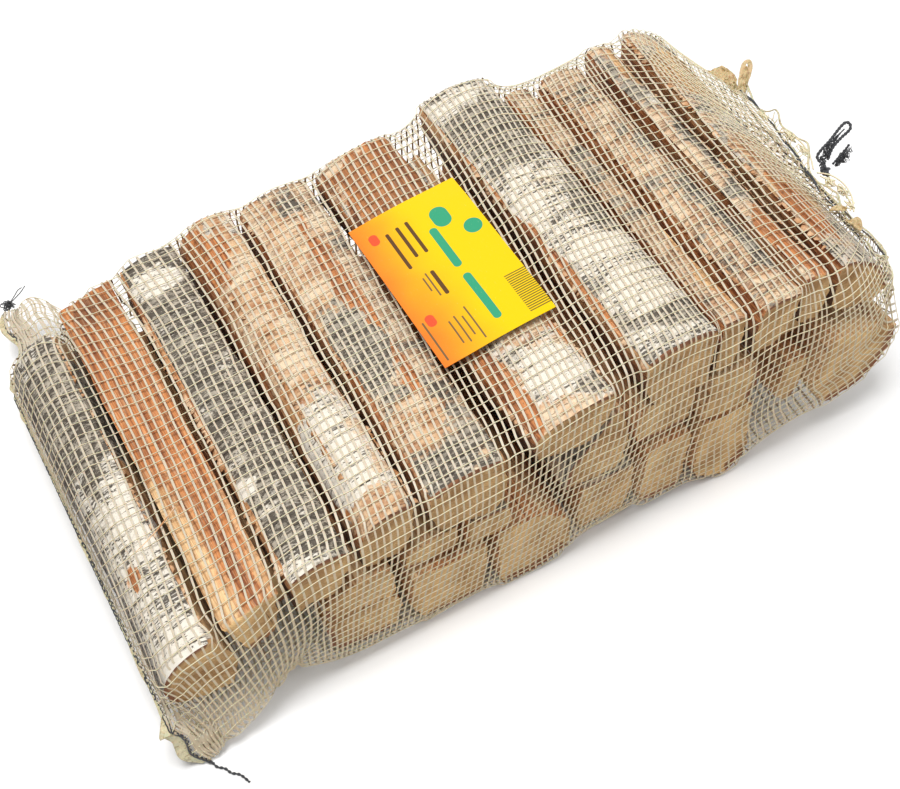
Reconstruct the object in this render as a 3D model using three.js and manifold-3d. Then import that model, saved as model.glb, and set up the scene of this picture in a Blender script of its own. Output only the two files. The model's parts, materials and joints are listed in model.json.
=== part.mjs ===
// Net sack of split birch firewood, lying on its side.
// Millimetres, +Z up. X runs along the sack from its sewn end to its mouth.
// Y runs along the logs. The origin is the bottom centre of the whole object.

import * as THREE from "three";
import { mergeVertices } from "three/addons/utils/BufferGeometryUtils.js";
import Module from "manifold-3d";

// Driving dimensions.
const LOG_LENGTH = 300;
const HALF_LENGTH = LOG_LENGTH / 2;
const BARK_STEPS = 6;
const NET_WALL = 1.0;
const NET_CORNER = 4.0;
const FLAP_HALF = 1.3;
const THREAD_DIAMETER = 2.2;
const CORD_DIAMETER = 3.6;
const LOOP_DIAMETER = 2.8;
const TASSEL_DIAMETER = 6;
const CORD_SIDES = 8;
const LABEL_WIDTH = 90;
const LABEL_LENGTH = 147;
const LABEL_THICKNESS = 0.6;

// Finish of each kind of piece.
const FINISH = {
  bark: { color: 0xb9ad9c, roughness: 0.85, metalness: 0 },
  wood: { color: 0xc98a5a, roughness: 0.8, metalness: 0 },
  net: { color: 0xd9cfae, roughness: 0.6, metalness: 0 },
  thread: { color: 0x1c1d21, roughness: 0.6, metalness: 0 },
  label: { color: 0xf7c92a, roughness: 0.45, metalness: 0 },
};

const part = new THREE.Group();

// Adds one named mesh with its own material.
function addPiece(name, geometry, finish) {
  const mesh = new THREE.Mesh(geometry, new THREE.MeshStandardMaterial(FINISH[finish]));
  mesh.name = name;
  part.add(mesh);
}

// ---------------------------------------------------------------------------
// Logs
// ---------------------------------------------------------------------------
// Each log is a convex prism along Y. Its outline is given at its front end as
// corners [x, z], counter-clockwise seen from the front. `bark` names the corner
// where the curved bark side starts and how far that side bulges; the bark runs to
// the next corner. `lean` and `rise` are how far the back end is shifted along X and
// up. `front` and `back` move the sawn ends along Y.

const LOGS = [
  // Top layer, from the sewn end to the mouth.
  { corners: [[-264, 50], [-231, 48], [-225, 84], [-242, 125]], bark: [3, 30], lean: -2 },
  { corners: [[-219, 84], [-194, 99], [-189, 144], [-236, 128]], rise: 6, back: 7 },
  { corners: [[-182, 102], [-150, 104], [-138, 122], [-136, 151], [-185, 146]], bark: [3, 6],
    lean: 2, rise: 6, back: 7 },
  { corners: [[-130, 112], [-100, 109], [-87, 125], [-85, 165], [-121, 163], [-132, 146]],
    bark: [3, 4], rise: 5, front: 3, back: 8 },
  { corners: [[-72, 118], [-22, 115], [-15, 135], [-17, 175], [-78, 168], [-79, 140]],
    bark: [3, 5], lean: -3, rise: 2, back: 4 },
  { corners: [[4, 150], [52, 141], [70, 168], [68, 194], [0, 181]], bark: [3, 6], lean: -18,
    front: -2 },
  { corners: [[104, 149], [148, 147], [154, 180], [152, 209], [90, 203], [93, 170]],
    bark: [3, 7], lean: -9, back: 6 },
  { corners: [[158, 149], [176, 147], [182, 176], [181, 204], [158, 206]], lean: -10, front: 3,
    back: -14 },
  { corners: [[190, 152], [214, 151], [226, 172], [227, 206], [189, 205], [187, 175]],
    bark: [3, 3], lean: -9, back: -16 },
  { corners: [[236, 153], [257, 151], [262, 175], [259, 198], [233, 205]], bark: [3, 3],
    front: 8, back: -2 },
  { corners: [[270, 150], [290, 133], [326, 130], [331, 142], [267, 203]], bark: [3, 13],
    lean: 6, front: 10, back: 6 },
  // Middle layer.
  { corners: [[-216, 52], [-170, 51], [-168, 86], [-188, 92], [-213, 77]], front: 42, lean: -2 },
  { corners: [[-160, 66], [-106, 64], [-103, 84], [-108, 104], [-146, 100], [-163, 88]],
    lean: 1 },
  { corners: [[-98, 81], [-52, 77], [-50, 96], [-53, 112], [-98, 104]], lean: -1, front: 4 },
  { corners: [[-47, 75], [-11, 83], [-8, 95], [-12, 110], [-47, 112]], lean: 1 },
  { corners: [[36, 84], [86, 83], [93, 118], [80, 162], [73, 163], [34, 108]], lean: -2,
    front: 2 },
  { corners: [[100, 95], [150, 93], [152, 120], [149, 142], [103, 144], [97, 120]], lean: -1,
    front: 6 },
  { corners: [[156, 94], [200, 92], [206, 118], [202, 142], [158, 143]], lean: 1 },
  { corners: [[214, 95], [229, 93], [232, 120], [224, 146], [212, 144]], front: 50, lean: 1 },
  { corners: [[240, 117], [263, 115], [266, 128], [262, 145], [238, 146]], front: 24 },
  // Bottom layer.
  { corners: [[-163, 60], [-160, 22], [-139, 12], [-106, 14], [-99, 40], [-103, 60]],
    front: 2, lean: 1 },
  { corners: [[-93, 76], [-96, 34], [-84, 4], [-32, 1.5], [-27, 40], [-30, 71]], lean: 1 },
  { corners: [[-22, 76], [-22, 30], [-18, 1.5], [14, 1.5], [43, 14], [45, 50], [20, 75]],
    lean: -1, front: -2 },
  { corners: [[52, 79], [49, 48], [55, 16], [98, 14], [103, 44], [101, 78]], front: 3 },
  { corners: [[107, 88], [107, 48], [110, 14], [150, 12], [153, 50], [151, 88]], lean: 1 },
  { corners: [[159, 89], [158, 22], [196, 1.5], [212, 22], [207, 88]], bark: [1, 4], front: -2 },
  { corners: [[235, 110], [234, 66], [252, 46], [262, 60], [263, 92], [261, 109]], front: 6,
    lean: -1 },
  { corners: [[272, 124], [269, 62], [283, 37], [343, 78], [342, 106]], bark: [2, 12],
    front: -4, lean: -1 },
];

// Points of a circular arc between two corners that bulges to the outside.
function arcPoints(from, to, bulge) {
  const chord = new THREE.Vector2().subVectors(to, from);
  const half = chord.length() / 2;
  const radius = (half * half + bulge * bulge) / (2 * bulge);
  const outward = new THREE.Vector2(chord.y, -chord.x).normalize();
  const middle = new THREE.Vector2().addVectors(from, to).multiplyScalar(0.5);
  const centre = middle.clone().addScaledVector(outward, bulge - radius);
  const start = new THREE.Vector2().subVectors(from, centre).angle();
  let sweep = new THREE.Vector2().subVectors(to, centre).angle() - start;
  if (sweep < 0) {
    sweep += 2 * Math.PI;
  }
  const points = [];
  for (let step = 0; step < BARK_STEPS; step += 1) {
    const angle = start + (sweep * step) / BARK_STEPS;
    points.push(new THREE.Vector2(Math.cos(angle), Math.sin(angle)).multiplyScalar(radius));
    points[step].add(centre);
  }
  return points;
}

// The whole outline of a log's end, with its bark side as an arc.
function logOutline(log) {
  const corners = log.corners.map(([x, z]) => new THREE.Vector2(x, z));
  const points = [];
  corners.forEach((corner, index) => {
    const next = corners[(index + 1) % corners.length];
    if (log.bark && log.bark[0] === index) {
      points.push(...arcPoints(corner, next, log.bark[1]));
    } else {
      points.push(corner);
    }
  });
  return points;
}

// A small tilt of a sawn end, different for each log and end, without randomness.
function sawTilt(index, end) {
  return 0.04 * Math.sin(2.4 * index + 1.7 * end);
}

// The solid of one log: its outline is extruded along Y, leaned and cut at both ends.
function logGeometry(log, index) {
  const outline = logOutline(log);
  const shape = new THREE.Shape(outline);
  const geometry = new THREE.ExtrudeGeometry(shape, { depth: 1, bevelEnabled: false });
  const middleX = outline.reduce((sum, point) => sum + point.x, 0) / outline.length;
  const middleZ = outline.reduce((sum, point) => sum + point.y, 0) / outline.length;
  const frontY = -HALF_LENGTH + (log.front ?? 0);
  const backY = HALF_LENGTH + (log.back ?? 0);
  const vertices = geometry.attributes.position;
  for (let i = 0; i < vertices.count; i += 1) {
    const x = vertices.getX(i);
    const z = vertices.getY(i);
    const atFront = vertices.getZ(i) > 0.5;
    const tiltX = sawTilt(index, atFront ? 1 : 2) * (x - middleX);
    const tiltZ = sawTilt(index, atFront ? 3 : 4) * (z - middleZ);
    const y = (atFront ? frontY : backY) + tiltX + tiltZ;
    const along = (y + HALF_LENGTH) / LOG_LENGTH;
    vertices.setXYZ(i, x + (log.lean ?? 0) * along, y, z + (log.rise ?? 0) * along);
  }
  return geometry;
}

LOGS.forEach((log, index) => {
  const name = `log_${String(index + 1).padStart(2, "0")}`;
  addPiece(name, logGeometry(log, index), log.bark ? "bark" : "wood");
});

// ---------------------------------------------------------------------------
// Net sack
// ---------------------------------------------------------------------------
// The sack is a thin tube of net that the logs fill. Each ring goes round the logs:
// `top` and `under` are the points [x, z] where it crosses the upper and the lower
// side, and `ends` are its places along Y in front of and behind the log ends.

const NET_FRONT = -160;
const NET_BACK = 166;
const FULL = [NET_FRONT, NET_BACK];

const RINGS = [
  { top: [-284, 51], under: [-284, 47.5], ends: FULL },
  { top: [-290, 72], under: [-279, 45.5], ends: FULL },
  { top: [-290, 98], under: [-268, 45], ends: FULL },
  { top: [-274, 124], under: [-250, 44], ends: FULL },
  { top: [-246, 134], under: [-222, 43], ends: FULL },
  { top: [-190, 160], under: [-180, 28], ends: FULL },
  { top: [-136, 171], under: [-146, 4], ends: FULL },
  { top: [-85, 180], under: [-92, 0], ends: FULL },
  { top: [-40, 187], under: [-40, 0], ends: FULL },
  { top: [15, 195], under: [15, 0], ends: FULL },
  { top: [68, 203], under: [68, 0], ends: FULL },
  { top: [92, 210], under: [100, 0], ends: FULL },
  { top: [125, 219], under: [140, 0], ends: FULL },
  { top: [170, 215], under: [206, 0], ends: FULL },
  { top: [210, 213], under: [222, 24], ends: FULL },
  { top: [232, 211], under: [240, 38], ends: FULL },
  { top: [250, 210], under: [282, 29.5], ends: FULL },
  { top: [266, 209], under: [339, 48], ends: FULL },
  { top: [280, 207.5], under: [352, 72], ends: FULL },
  { top: [295, 204], under: [352, 112], ends: FULL },
  { top: [306, 199.5], under: [344, 152], ends: FULL },
  { top: [319, 188], under: [340, 158], ends: [-124, 64] },
];

// The points of one ring, `inset` millimetres inside its outer side, in order round it.
function ringPoints(ring, inset) {
  const top = new THREE.Vector2(...ring.top);
  const under = new THREE.Vector2(...ring.under);
  const height = top.distanceTo(under);
  const shrink = Math.min(inset, height * 0.3) / height;
  const corner = Math.min(NET_CORNER, height * 0.2) / height;
  const front = ring.ends[0] + inset;
  const back = ring.ends[1] - inset;
  const chamfer = NET_CORNER;
  const across = [
    [front, corner],
    [front + chamfer, 0],
    [front * 0.5, 0],
    [0, 0],
    [back * 0.5, 0],
    [back - chamfer, 0],
    [back, corner],
  ];
  const place = ([y, step], fromTop) => {
    const share = shrink + step * (1 - 2 * shrink);
    const point = top.clone().lerp(under, fromTop ? share : 1 - share);
    return new THREE.Vector3(point.x, y, point.y);
  };
  const upper = across.map((entry) => place(entry, true));
  const lower = across.map((entry) => place(entry, false)).reverse();
  return [...upper, ...lower];
}

// Triangles of a tube through rings of equal length; `outward` sets their facing.
function tubeTriangles(rings, outward) {
  const triangles = [];
  for (let r = 0; r + 1 < rings.length; r += 1) {
    const count = rings[r].length;
    for (let k = 0; k < count; k += 1) {
      const a = rings[r][k];
      const b = rings[r][(k + 1) % count];
      const c = rings[r + 1][(k + 1) % count];
      const d = rings[r + 1][k];
      triangles.push(...(outward ? [a, c, b, a, d, c] : [a, b, c, a, c, d]));
    }
  }
  return triangles;
}

// Closes a flat ring, whose upper half runs back along its lower half.
function capTriangles(ring, outward) {
  const triangles = [];
  const last = ring.length - 1;
  for (let k = 0; k < ring.length / 2 - 1; k += 1) {
    const [a, b, c, d] = [ring[k], ring[k + 1], ring[last - k - 1], ring[last - k]];
    triangles.push(...(outward ? [a, b, c, a, c, d] : [a, c, b, a, d, c]));
  }
  return triangles;
}

// The thin wall of the sack: closed at its sewn end and open at its mouth.
function sackGeometry() {
  const outer = RINGS.map((ring) => ringPoints(ring, 0));
  const inner = RINGS.slice(1).map((ring) => ringPoints(ring, NET_WALL));
  const mouth = [outer[outer.length - 1], inner[inner.length - 1]];
  const triangles = [
    ...capTriangles(outer[0], true),
    ...tubeTriangles(outer, true),
    ...tubeTriangles(mouth, true),
    ...tubeTriangles(inner, false),
    ...capTriangles(inner[0], false),
  ];
  return new THREE.BufferGeometry().setFromPoints(triangles);
}

// ---------------------------------------------------------------------------
// Corners of the sewn end: the flat net that no log fills
// ---------------------------------------------------------------------------
// Each outline lies in its own plane as [x, length out from the sack].

const FRONT_EAR = [
  [-283, 0], [-277, 12], [-277, 30], [-269, 45], [-250, 40], [-225, 28], [-196, 0],
];
const BACK_EAR = [
  [-283, 0], [-276, 24], [-261, 56], [-266, 82], [-262, 98], [-250, 104], [-240, 118],
  [-221, 94], [-213, 0],
];
const FRONT_EAR_SLOPE = THREE.MathUtils.degToRad(75);
const BACK_EAR_SLOPE = THREE.MathUtils.degToRad(5);
const EAR_ROOT_Z = 47;

// A flat flap, two layers of net thick, that hangs at `slope` from a root line.
function earGeometry(outline, slope, rootY, side) {
  const shape = new THREE.Shape(outline.map(([x, out]) => new THREE.Vector2(x, side * out)));
  const geometry = new THREE.ExtrudeGeometry(shape, { depth: 2 * FLAP_HALF, bevelEnabled: false });
  geometry.translate(0, 0, -FLAP_HALF);
  geometry.rotateX(-side * slope);
  geometry.translate(0, rootY, EAR_ROOT_Z);
  return geometry;
}

// ---------------------------------------------------------------------------
// Joining with manifold-3d
// ---------------------------------------------------------------------------

const wasm = await Module();
wasm.setup();

function toManifold(geometry) {
  const bare = geometry.clone();
  bare.deleteAttribute("normal");
  bare.deleteAttribute("uv");
  const merged = mergeVertices(bare, 1e-4);
  const vertProperties = new Float32Array(merged.attributes.position.array);
  const triVerts = new Uint32Array(merged.index.array);
  return new wasm.Manifold(new wasm.Mesh({ numProp: 3, vertProperties, triVerts }));
}

function toGeometry(solid) {
  const mesh = solid.getMesh();
  const geometry = new THREE.BufferGeometry();
  geometry.setAttribute("position", new THREE.BufferAttribute(mesh.vertProperties, 3));
  geometry.setIndex(new THREE.BufferAttribute(mesh.triVerts, 1));
  geometry.computeVertexNormals();
  return geometry;
}

const sack = [
  earGeometry(FRONT_EAR, FRONT_EAR_SLOPE, NET_FRONT + 0.8, -1),
  earGeometry(BACK_EAR, BACK_EAR_SLOPE, NET_BACK - 0.8, 1),
].reduce((solid, ear) => solid.add(toManifold(ear)), toManifold(sackGeometry()));
addPiece("net_sack", toGeometry(sack), "net");

// ---------------------------------------------------------------------------
// Thread, cord and knots
// ---------------------------------------------------------------------------

// A tube of round section along a smooth curve through the given points.
function tubeGeometry(points, diameter, steps) {
  const section = new THREE.Shape();
  for (let side = 0; side < CORD_SIDES; side += 1) {
    const angle = (2 * Math.PI * side) / CORD_SIDES;
    const x = (diameter / 2) * Math.cos(angle);
    const y = (diameter / 2) * Math.sin(angle);
    section[side === 0 ? "moveTo" : "lineTo"](x, y);
  }
  section.closePath();
  const path = new THREE.CatmullRomCurve3(points.map((point) => new THREE.Vector3(...point)));
  return new THREE.ExtrudeGeometry(section, { steps, extrudePath: path, bevelEnabled: false });
}

// A knot is a small rounded lump.
function knotGeometry(size, place) {
  const geometry = new THREE.IcosahedronGeometry(0.5, 1);
  geometry.scale(...size);
  geometry.translate(...place);
  return geometry;
}

// The chain stitch runs along the edge of the sewn end, from its front corner to its
// back corner, where it is tied off.
const SEAM_ROUTE = [
  [-271.1, -171.1, 2.8],
  [-279.4, -167.1, 17.5],
  [-279.6, -162.6, 34.2],
  [-285.8, -158.5, 46.5],
  [-286.4, -148, 49],
  [-286.4, 0, 49.5],
  [-286.4, 150, 49],
  [-285.4, 168, 47.4],
  [-278.6, 190, 44.8],
  [-264.4, 221, 42.1],
  [-268.8, 247, 39.9],
  [-265.2, 266, 38.2],
];
addPiece("seam_thread", tubeGeometry(SEAM_ROUTE, THREAD_DIAMETER, 70), "thread");
addPiece("seam_knot", knotGeometry([13, 11, 9], [-259, 276, 37]), "thread");

const SEAM_TAIL_ROUTE = [
  [-269.0, -174, 1.8],
  [-267.5, -178, 1.3],
  [-263.0, -182, 1.2],
  [-260.5, -187, 1.2],
  [-255.5, -191.5, 1.2],
  [-252.0, -199.5, 1.2],
];
addPiece("seam_tail", tubeGeometry(SEAM_TAIL_ROUTE, THREAD_DIAMETER, 12), "thread");

// The drawstring runs in the hem round the mouth and both its ends meet in the knot.
const DRAWSTRING_ROUTE = [
  [321.4, -56, 189.5],
  [321.4, -90, 189.5],
  [321.6, -120, 189.0],
  [325.5, -126.8, 183.5],
  [338.5, -126.8, 164.5],
  [342.4, -120, 159.4],
  [342.4, -90, 159.2],
  [342.4, -20, 159.2],
  [342.4, 40, 159.2],
  [342.0, 61, 159.6],
  [338.0, 66.8, 165.0],
  [326.0, 66.8, 183.0],
  [321.8, 61, 188.8],
  [321.4, 30, 189.5],
  [321.4, -10, 189.5],
  [321.4, -40, 189.5],
];
addPiece("drawstring", tubeGeometry(DRAWSTRING_ROUTE, CORD_DIAMETER, 80), "thread");
addPiece("drawstring_knot", knotGeometry([11, 10, 10], [330.4, -48.9, 187]), "thread");

const LOOP_ROUTE = [
  [329.5, -42.5, 191.5],
  [329.2, -38.0, 194.0],
  [333.0, -36.5, 198.0],
  [341.0, -35.5, 203.5],
  [348.6, -33.6, 209.0],
  [353.0, -32.8, 212.0],
  [356.4, -33.0, 213.4],
  [358.3, -35.3, 212.5],
  [357.2, -37.8, 210.4],
  [353.8, -38.4, 208.0],
  [348.6, -38.6, 204.8],
  [341.0, -40.0, 199.2],
  [335.3, -43.6, 192.4],
];
addPiece("drawstring_loop", tubeGeometry(LOOP_ROUTE, LOOP_DIAMETER, 28), "thread");

const TASSEL_ROUTE = [
  [337.5, -49.5, 190.5],
  [342.0, -49.5, 195.5],
  [346.5, -49.3, 200.5],
  [350.5, -48.8, 205.0],
];
addPiece("drawstring_tassel", tubeGeometry(TASSEL_ROUTE, TASSEL_DIAMETER, 6), "thread");

// ---------------------------------------------------------------------------
// Label
// ---------------------------------------------------------------------------

const LABEL_PLACE = new THREE.Vector3(21, -1.5, 197.9);
const LABEL_SLOPE = Math.atan2(8.4, 53);

const label = new THREE.BoxGeometry(LABEL_WIDTH, LABEL_LENGTH, LABEL_THICKNESS);
label.rotateY(-LABEL_SLOPE);
label.translate(LABEL_PLACE.x, LABEL_PLACE.y, LABEL_PLACE.z);
addPiece("label", label, "label");

// ---------------------------------------------------------------------------
// Origin: the bottom centre of everything but the free cord ends
// ---------------------------------------------------------------------------

const FREE_ENDS = ["seam_tail", "drawstring_loop", "drawstring_tassel"];
const extent = new THREE.Box3();
part.children
  .filter((mesh) => !FREE_ENDS.includes(mesh.name))
  .forEach((mesh) => extent.expandByObject(mesh, true));
const middle = extent.getCenter(new THREE.Vector3());
part.position.set(-middle.x, -middle.y, -extent.min.z);

export default part;
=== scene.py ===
"""Looks of a net sack of split birch firewood that lies on its side.

Lengths are in millimetres in the sack's own frame: X from the sewn end to the mouth, Y along the
logs and Z up, with Y = 0 halfway along the logs. to_row() turns them into metres in the row frame.
"""

import json
import math

import bpy
import numpy as np
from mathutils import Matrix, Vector

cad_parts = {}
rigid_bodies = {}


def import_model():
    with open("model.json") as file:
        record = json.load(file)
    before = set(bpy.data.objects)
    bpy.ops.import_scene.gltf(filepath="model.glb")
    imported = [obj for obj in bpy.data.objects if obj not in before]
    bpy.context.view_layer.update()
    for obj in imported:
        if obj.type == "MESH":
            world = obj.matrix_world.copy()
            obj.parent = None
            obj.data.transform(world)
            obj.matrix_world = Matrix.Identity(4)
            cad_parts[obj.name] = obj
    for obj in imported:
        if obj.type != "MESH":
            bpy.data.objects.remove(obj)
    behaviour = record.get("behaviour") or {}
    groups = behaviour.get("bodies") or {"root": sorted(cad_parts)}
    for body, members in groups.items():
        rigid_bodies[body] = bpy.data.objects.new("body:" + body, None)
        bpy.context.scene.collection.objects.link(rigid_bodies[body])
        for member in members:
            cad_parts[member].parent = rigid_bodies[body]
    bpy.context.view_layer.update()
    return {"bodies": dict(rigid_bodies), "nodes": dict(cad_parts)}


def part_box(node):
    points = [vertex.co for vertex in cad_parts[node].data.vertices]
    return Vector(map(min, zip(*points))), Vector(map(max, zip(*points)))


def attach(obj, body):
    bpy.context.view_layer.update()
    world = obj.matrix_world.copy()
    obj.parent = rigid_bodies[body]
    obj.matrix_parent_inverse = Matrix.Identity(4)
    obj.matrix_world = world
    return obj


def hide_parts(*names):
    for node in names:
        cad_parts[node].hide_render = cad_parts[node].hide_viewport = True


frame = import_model()
BODY = next(iter(frame["bodies"]))

MM = 0.001
LOG_LENGTH = 300.0
ALONG_LOGS = np.array([0, 1.0, 0])
LABEL_PLACE = np.array([21.0, -1.5, 197.9])
LOG_NAMES = [f"log_{number:02d}" for number in range(1, 29)]
TOP_LOGS = 11

label_low, label_high = (np.array(corner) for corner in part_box("label"))
ORIGIN = (label_low + label_high) / 2 - LABEL_PLACE * MM


def to_row(points):
    """Points of the sack's own frame, in mm, as metres in the row frame."""
    return np.asarray(points, float) * MM + ORIGIN


def from_row(points):
    """Points of the row frame, in metres, as mm in the sack's own frame."""
    return (np.asarray(points, float) - ORIGIN) / MM


# ---- Camera, light and floor ----

CAMERA_AZIMUTH = math.radians(-29.5)
CAMERA_ELEVATION = math.radians(53.3)
CAMERA_DISTANCE = 1038.6
CAMERA_TARGET = np.array([1.8, -37.0, 100.0])
CAMERA_LENS = 54.5
CAMERA_SENSOR = 36.0
# The soft lamps: name, place, disk size in metres and power in watts. All point at one spot.
LAMPS = [
    ("key_light", (-0.5, -0.25, 2.3), 1.0, 46),
    ("fill_light", (1.7, -0.9, 1.7), 1.6, 13),
    ("back_light", (0.4, 2.0, 1.8), 1.4, 10),
]
LAMP_TARGET = Vector((0, 0, 0.1))
SKY_STRENGTH = 0.38


def add_camera():
    """A view from above and in front, a little towards the sewn end."""
    back = np.array([
        math.sin(CAMERA_AZIMUTH) * math.cos(CAMERA_ELEVATION),
        -math.cos(CAMERA_AZIMUTH) * math.cos(CAMERA_ELEVATION),
        math.sin(CAMERA_ELEVATION),
    ])
    camera = bpy.data.objects.new("camera", bpy.data.cameras.new("camera"))
    camera.data.lens = CAMERA_LENS
    camera.data.sensor_width = CAMERA_SENSOR
    camera.data.clip_end = 50.0
    camera.location = to_row(CAMERA_TARGET + back * CAMERA_DISTANCE)
    camera.rotation_euler = Vector(back).to_track_quat("Z", "Y").to_euler()
    bpy.context.scene.collection.objects.link(camera)
    bpy.context.scene.camera = camera


def add_lamp(name, place, size, power):
    """One soft disk lamp that points at the sack."""
    light = bpy.data.lights.new(name, "AREA")
    light.shape = "DISK"
    light.size = size
    light.energy = power
    lamp = bpy.data.objects.new(name, light)
    lamp.location = place
    lamp.rotation_euler = (Vector(place) - LAMP_TARGET).to_track_quat("Z", "Y").to_euler()
    bpy.context.scene.collection.objects.link(lamp)


def add_lights():
    """The lamps in an even white studio."""
    for lamp in LAMPS:
        add_lamp(*lamp)
    world = bpy.data.worlds.new("studio")
    world.use_nodes = True
    sky = world.node_tree.nodes["Background"]
    sky.inputs["Color"].default_value = (1.0, 1.0, 1.0, 1.0)
    sky.inputs["Strength"].default_value = SKY_STRENGTH
    bpy.context.scene.world = world
    bpy.context.scene.view_settings.view_transform = "Standard"


def add_floor():
    """A plain pale floor, which is no part of the sack."""
    bpy.ops.mesh.primitive_plane_add(size=14.0, location=(0, 0, 0))
    floor = bpy.context.object
    floor.name = "floor"
    material = bpy.data.materials.new("floor")
    material.use_nodes = True
    shader = material.node_tree.nodes["Principled BSDF"]
    shader.inputs["Base Color"].default_value = (0.93, 0.93, 0.93, 1)
    shader.inputs["Roughness"].default_value = 0.9
    floor.data.materials.append(material)


# ---- Node materials ----


class Nodes:
    """A short way to write one material's node tree."""

    def __init__(self, name):
        self.material = bpy.data.materials.new(name)
        self.material.use_nodes = True
        self.tree = self.material.node_tree
        self.shader = self.tree.nodes["Principled BSDF"]

    def add(self, kind, **settings):
        node = self.tree.nodes.new(kind)
        for key, value in settings.items():
            setattr(node, key, value)
        return node

    def put(self, socket, value):
        """Links a socket, or sets a plain value, on an input."""
        if isinstance(value, bpy.types.NodeSocket):
            self.tree.links.new(value, socket)
        elif isinstance(value, tuple) and len(value) == 3 and socket.type == "RGBA":
            socket.default_value = (*value, 1.0)
        else:
            socket.default_value = value

    def attribute(self, name):
        return self.add("ShaderNodeAttribute", attribute_name=name)

    def parts(self, vector):
        """The three numbers of a vector."""
        node = self.add("ShaderNodeSeparateXYZ")
        self.put(node.inputs[0], vector)
        return tuple(node.outputs)

    def math(self, operation, a, b=0.0):
        node = self.add("ShaderNodeMath", operation=operation)
        self.put(node.inputs[0], a)
        self.put(node.inputs[1], b)
        return node.outputs[0]

    def plus(self, a, b):
        return self.math("ADD", a, b)

    def minus(self, a, b):
        return self.math("SUBTRACT", a, b)

    def times(self, a, b):
        return self.math("MULTIPLY", a, b)

    def scaled(self, vector, factors):
        node = self.add("ShaderNodeVectorMath", operation="MULTIPLY")
        self.put(node.inputs[0], vector)
        node.inputs[1].default_value = factors
        return node.outputs[0]

    def noise(self, vector, scale, detail=2.0, roughness=0.5, distortion=0.0):
        """Noise with one scale, or with a scale for each of X, Y and Z."""
        if isinstance(scale, tuple):
            vector = self.scaled(vector, scale)
            scale = 1.0
        node = self.add("ShaderNodeTexNoise")
        self.put(node.inputs["Vector"], vector)
        node.inputs["Scale"].default_value = scale
        node.inputs["Detail"].default_value = detail
        node.inputs["Roughness"].default_value = roughness
        node.inputs["Distortion"].default_value = distortion
        return node.outputs["Fac"]

    def ramp(self, value, low, high):
        """0 below low, 1 above high, smooth in between."""
        node = self.add("ShaderNodeMapRange", interpolation_type="SMOOTHSTEP")
        self.put(node.inputs["Value"], value)
        self.put(node.inputs["From Min"], low)
        self.put(node.inputs["From Max"], high)
        return node.outputs["Result"]

    def mix(self, share, a, b):
        node = self.add("ShaderNodeMix", data_type="RGBA")
        self.put(node.inputs[0], share)
        self.put(node.inputs[6], a)
        self.put(node.inputs[7], b)
        return node.outputs[2]

    def bump(self, height, strength, distance):
        node = self.add("ShaderNodeBump")
        self.put(node.inputs["Height"], height)
        node.inputs["Strength"].default_value = strength
        node.inputs["Distance"].default_value = distance
        return node.outputs["Normal"]

    def finish(self, color, roughness, normal=None, **plain):
        self.put(self.shader.inputs["Base Color"], color)
        self.put(self.shader.inputs["Roughness"], roughness)
        if normal is not None:
            self.put(self.shader.inputs["Normal"], normal)
        for key, value in plain.items():
            self.shader.inputs[key.replace("_", " ")].default_value = value
        return self.material


def bark_look(n, place, tone):
    """Birch bark: chalk and grey paper, peach under-bark where it peels, and dark flecks."""
    white, specks, peach = tone
    patches = n.noise(place, (34.0, 50.0, 34.0), 6.0, 0.66, 0.5)
    stains = n.noise(place, (95.0, 130.0, 95.0), 4.0, 0.62)
    bands = n.noise(place, (14.0, 105.0, 14.0), 3.0, 0.6)
    flecks = n.noise(place, (250.0, 480.0, 250.0), 3.0, 0.62, 0.3)
    dashes = n.noise(place, (95.0, 520.0, 95.0), 2.0, 0.55, 0.2)
    grains = n.noise(place, (900.0, 1500.0, 900.0), 2.0, 0.6)
    paper = n.mix(n.ramp(stains, 0.3, 0.7), (0.20, 0.18, 0.145), (0.56, 0.50, 0.40))
    chalk = n.plus(patches, n.times(n.minus(white, 0.55), 0.34))
    chalk = n.ramp(chalk, 0.44, 0.58)
    paper = n.mix(chalk, paper, (0.88, 0.83, 0.73))
    under = n.mix(n.ramp(stains, 0.34, 0.62), (0.42, 0.17, 0.06), (0.76, 0.50, 0.28))
    under = n.mix(n.ramp(patches, 0.46, 0.66), under, (0.88, 0.71, 0.50))
    peeled = n.ramp(n.plus(patches, n.times(peach, 0.42)), 0.64, 0.72)
    color = n.mix(peeled, paper, under)
    limit = n.minus(0.68, n.times(specks, 0.17))
    limit = n.plus(limit, n.times(chalk, 0.03))
    limit = n.minus(limit, n.times(n.minus(bands, 0.5), 0.45))
    dark = n.math(
        "MAXIMUM",
        n.ramp(n.minus(flecks, limit), 0.0, 0.09),
        n.ramp(n.minus(dashes, limit), 0.0, 0.05),
    )
    dark = n.times(dark, n.minus(1.0, n.times(peeled, 0.35)))
    ink = n.mix(peeled, (0.04, 0.034, 0.028), (0.15, 0.055, 0.022))
    color = n.mix(n.times(dark, 0.92), color, ink)
    color = n.mix(n.times(grains, 0.3), color, (0.28, 0.21, 0.14))
    return color, n.minus(n.times(grains, 0.5), dark)


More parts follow.
